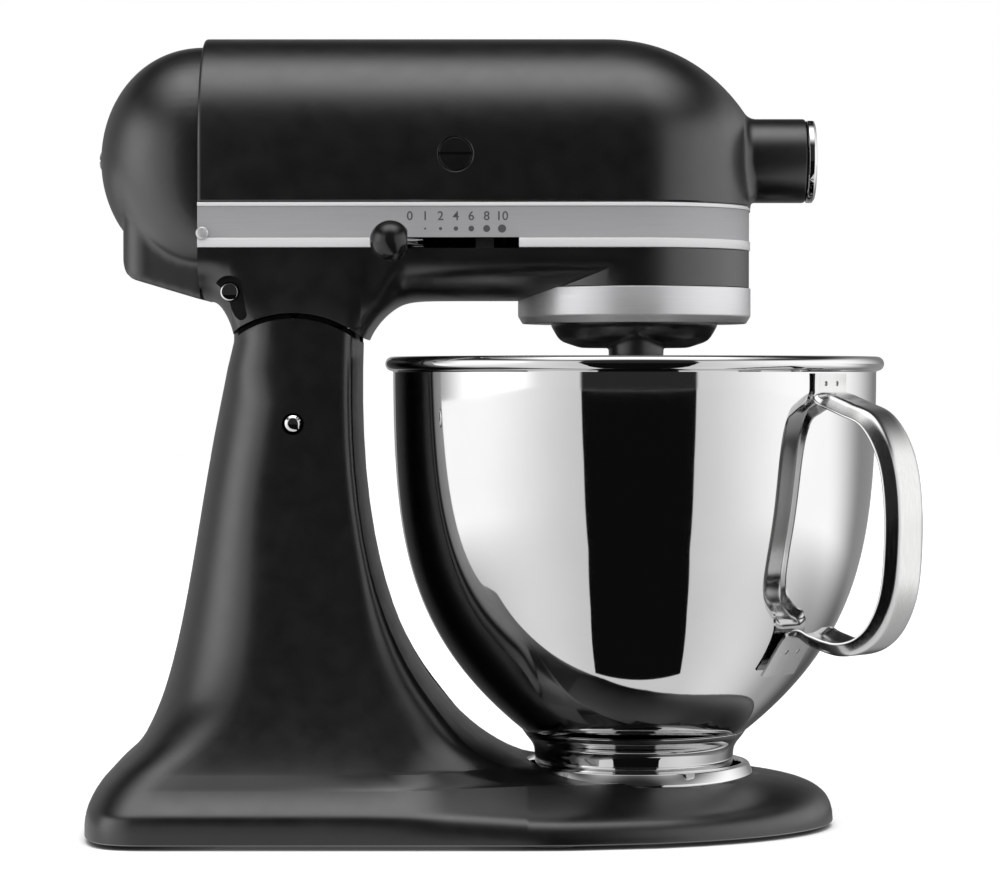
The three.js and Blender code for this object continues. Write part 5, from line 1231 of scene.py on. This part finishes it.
def floor():
    """A wide white floor: it stays white and keeps the mixer's shadow, with painted shade added under and round
    the base, led by ambient occlusion. Bright metal sees it as painted light and shade: brightest at the bowl's
    sides, dark behind the mixer and dimmed near it."""
    bpy.ops.mesh.primitive_plane_add(size=14, location=(0, 0, 0))
    obj = bpy.context.object
    obj.name = "studio_floor"
    material, tree = empty_material("white_studio_floor")
    rays = add(tree, "ShaderNodeLightPath").outputs
    where = add(tree, "ShaderNodeTexCoord").outputs["Object"]
    place = add(tree, "ShaderNodeSeparateXYZ", {"Vector": where}).outputs
    contact = add(tree, "ShaderNodeAmbientOcclusion", {"Distance": 0.03}).outputs["AO"]
    known = reckoned(tree, {"x": place["X"], "y": place["Y"], "contact": contact}, [
        ("side", "SUBTRACT", "x", (BOWL_X + HOME) * MM),
        ("aside", "ABSOLUTE", "side"),
        ("ahead", "MULTIPLY", "y", -1),
        ("turn", "ARCTAN2", "aside", "ahead"),
        ("side_square", "MULTIPLY", "side", "side"),
        ("far_square", "MULTIPLY_ADD", "ahead", "ahead", "side_square"),
        ("far", "SQRT", "far_square"),
        # painted light: the floor that bright metal sees glows brighter towards the bowl's sides and goes dark
        # behind the mixer
        ("beside", "RISE", "turn", radians(20), radians(80)),
        ("behind", "RISE", "turn", radians(98), radians(135)),
        ("bright", "MULTIPLY_ADD", "beside", 0.6, 0.82),
        ("level", "MULTIPLY_ADD", "behind", -1.1, "bright"),
        # painted shade: near the mixer that glow is dimmed, where the mixer's shadow would fall
        ("near", "RISE", "far", 0.7, 0.15),
        ("round", "RISE", "turn", radians(30), radians(100)),
        ("shade", "MULTIPLY", "near", "round"),
        ("unshaded", "MULTIPLY_ADD", "shade", -0.7, 1),
        ("reflected_painted_light", "MULTIPLY", "level", "unshaded"),
        # painted shade: where ambient occlusion finds the floor enclosed, under and round the base, its colour
        # and glow go dark
        ("clear", "RISE", "contact", 0, 0.8),
        ("glow", "MULTIPLY", "clear", 0.5)])
    reflected_painted_light = add(tree, "ShaderNodeEmission", {"Color": (1, 1, 1, 1), "Strength": known["reflected_painted_light"]})
    glow = add(tree, "ShaderNodeEmission", {"Color": (1, 1, 1, 1), "Strength": known["glow"]})
    # painted shade: the floor's colour runs from near black where enclosed to white in the open
    tint = add(tree, "ShaderNodeMix", {0: known["clear"], 6: colour("#050505"), 7: colour("#e8e8e8")},
               data_type="RGBA")
    painted_shade_diffuse = add(tree, "ShaderNodeBsdfDiffuse", {"Color": tint.outputs[2]})
    seen = add(tree, "ShaderNodeAddShader", {0: glow.outputs[0], 1: painted_shade_diffuse.outputs[0]})
    plain = add(tree, "ShaderNodeBsdfDiffuse", {"Color": colour("#c8c8c8")})
    shown = add(tree, "ShaderNodeMixShader", {
        0: rays["Is Camera Ray"], 1: plain.outputs[0], 2: seen.outputs[0]})
    # bright metal sees the floor's painted light and shade in place of its paint
    whole = add(tree, "ShaderNodeMixShader", {
        0: rays["Is Glossy Ray"], 1: shown.outputs[0], 2: reflected_painted_light.outputs[0]})
    add(tree, "ShaderNodeOutputMaterial", {"Surface": whole.outputs[0]})
    obj.data.materials.append(material)
    return obj


def black_flag():
    """A black cloth on the floor in front of the mixer; only reflections show it."""
    x = (BOWL_X + HOME) * MM
    edge = [(0.04, 0.092), (0.073, 0.182), (0.147, 0.36), (0.59, 1.27), (3.45, 6.9)]
    outline = [(x + a, -b) for a, b in edge] + [(x - a, -b) for a, b in reversed(edge)]
    mesh = bpy.data.meshes.new("black_flag")
    mesh.from_pydata([(a, b, 0.001) for a, b in outline], [], [tuple(reversed(range(len(outline))))])
    obj = bpy.data.objects.new("black_flag", mesh)
    bpy.context.collection.objects.link(obj)
    material, tree = empty_material("black_cloth")
    dark = add(tree, "ShaderNodeEmission", {"Color": colour("#101010"), "Strength": 1.0})
    add(tree, "ShaderNodeOutputMaterial", {"Surface": dark.outputs[0]})
    obj.data.materials.append(material)
    obj.visible_camera = obj.visible_diffuse = obj.visible_shadow = False
    return obj


floor()
black_flag()


def studio_light():
    """A dark studio with white walls at both sides and a bright arch overhead; its front stays black."""
    world = bpy.data.worlds.new("studio")
    bpy.context.scene.world = world
    world.use_nodes = True
    tree = world.node_tree
    tree.nodes.clear()
    way = add(tree, "ShaderNodeTexCoord").outputs["Generated"]
    apart = add(tree, "ShaderNodeSeparateXYZ", {"Vector": way}).outputs
    known = reckoned(tree, {"x": apart["X"], "y": apart["Y"], "z": apart["Z"]}, [
        ("aside", "ABSOLUTE", "x"),
        ("ahead", "MULTIPLY", "y", -1),
        ("turn", "ARCTAN2", "aside", "ahead"),
        ("left", "RISE", "x", 0.1, -0.1),
        ("right", "RISE", "x", -0.1, 0.1),
        # the walls brighten towards the sides, and most on the left, and fade behind the mixer
        ("beside", "RISE", "turn", radians(26), radians(80)),
        ("bright", "MULTIPLY_ADD", "beside", 0.6, 0.85),
        ("past_front", "RISE", "turn", radians(45), radians(62)),
        ("hot", "MULTIPLY", "past_front", "left"),
        ("level", "MULTIPLY_ADD", "hot", 0.6, "bright"),
        ("fade_start", "MULTIPLY_ADD", "right", radians(29), radians(76)),
        ("fade_width", "MULTIPLY_ADD", "right", radians(17), radians(38)),
        ("past_start", "SUBTRACT", "turn", "fade_start"),
        ("into_fade", "DIVIDE", "past_start", "fade_width"),
        ("fade", "RISE", "into_fade", 0, 1),
        ("unfaded", "MULTIPLY_ADD", "fade", -0.85, 1),
        ("edge", "RISE", "turn", radians(26), radians(28)),
        ("low", "RISE", "z", 0.65, 0.35),
        ("lit", "MULTIPLY", "edge", "level"),
        ("lit_unfaded", "MULTIPLY", "lit", "unfaded"),
        ("wall", "MULTIPLY", "lit_unfaded", "low"),
        # the arch stands just behind straight up, and ends before the walls
        ("off_arch", "ADD", "y", 0.17),
        ("from_arch", "ABSOLUTE", "off_arch"),
        ("across_arch", "RISE", "from_arch", 0.6, 0.08),
        ("high", "RISE", "z", 0.2, 0.85),
        ("along_arch", "RISE", "aside", 0.75, 0.25),
        ("high_arch", "MULTIPLY", "across_arch", "high"),
        ("arch", "MULTIPLY", "high_arch", "along_arch"),
        ("both", "MULTIPLY_ADD", "arch", 2.6, "wall"),
        ("glow", "ADD", "both", 0.03)])
    seen = add(tree, "ShaderNodeLightPath").outputs["Is Camera Ray"]
    lit = add(tree, "ShaderNodeBackground", {"Color": (1, 1, 1, 1), "Strength": known["glow"]})
    white = add(tree, "ShaderNodeBackground", {"Color": (1, 1, 1, 1), "Strength": 1.0})
    whole = add(tree, "ShaderNodeMixShader", {0: seen, 1: lit.outputs[0], 2: white.outputs[0]})
    add(tree, "ShaderNodeOutputWorld", {"Surface": whole.outputs[0]})


studio_light()

# The soft box lights the front from above, and the bright metal doesn't show it.
SOFT_BOX_TILT, SOFT_BOX_TURN = radians(58), radians(5)
bpy.ops.object.light_add(type="AREA", location=(0.2, -2.2, 1.5), rotation=(SOFT_BOX_TILT, 0, SOFT_BOX_TURN))
soft_box = bpy.context.object
soft_box.name = "front_soft_box"
soft_box.data.size = 2
soft_box.data.energy = 32
soft_box.visible_glossy = False

# The camera stands level with the bowl, a metre and a half away, and looks very slightly down.
CAMERA_PLACE = (0.001589, -1.5, 0.201)
CAMERA_DOWN = 1.126
bpy.ops.object.camera_add(location=CAMERA_PLACE, rotation=(radians(90 - CAMERA_DOWN), 0, 0))
camera = bpy.context.object
camera.name = "studio_camera"
camera.data.lens = 120
camera.data.sensor_width = 36
camera.data.clip_end = 30
bpy.context.scene.camera = camera
bpy.context.scene.view_settings.view_transform = "Standard"
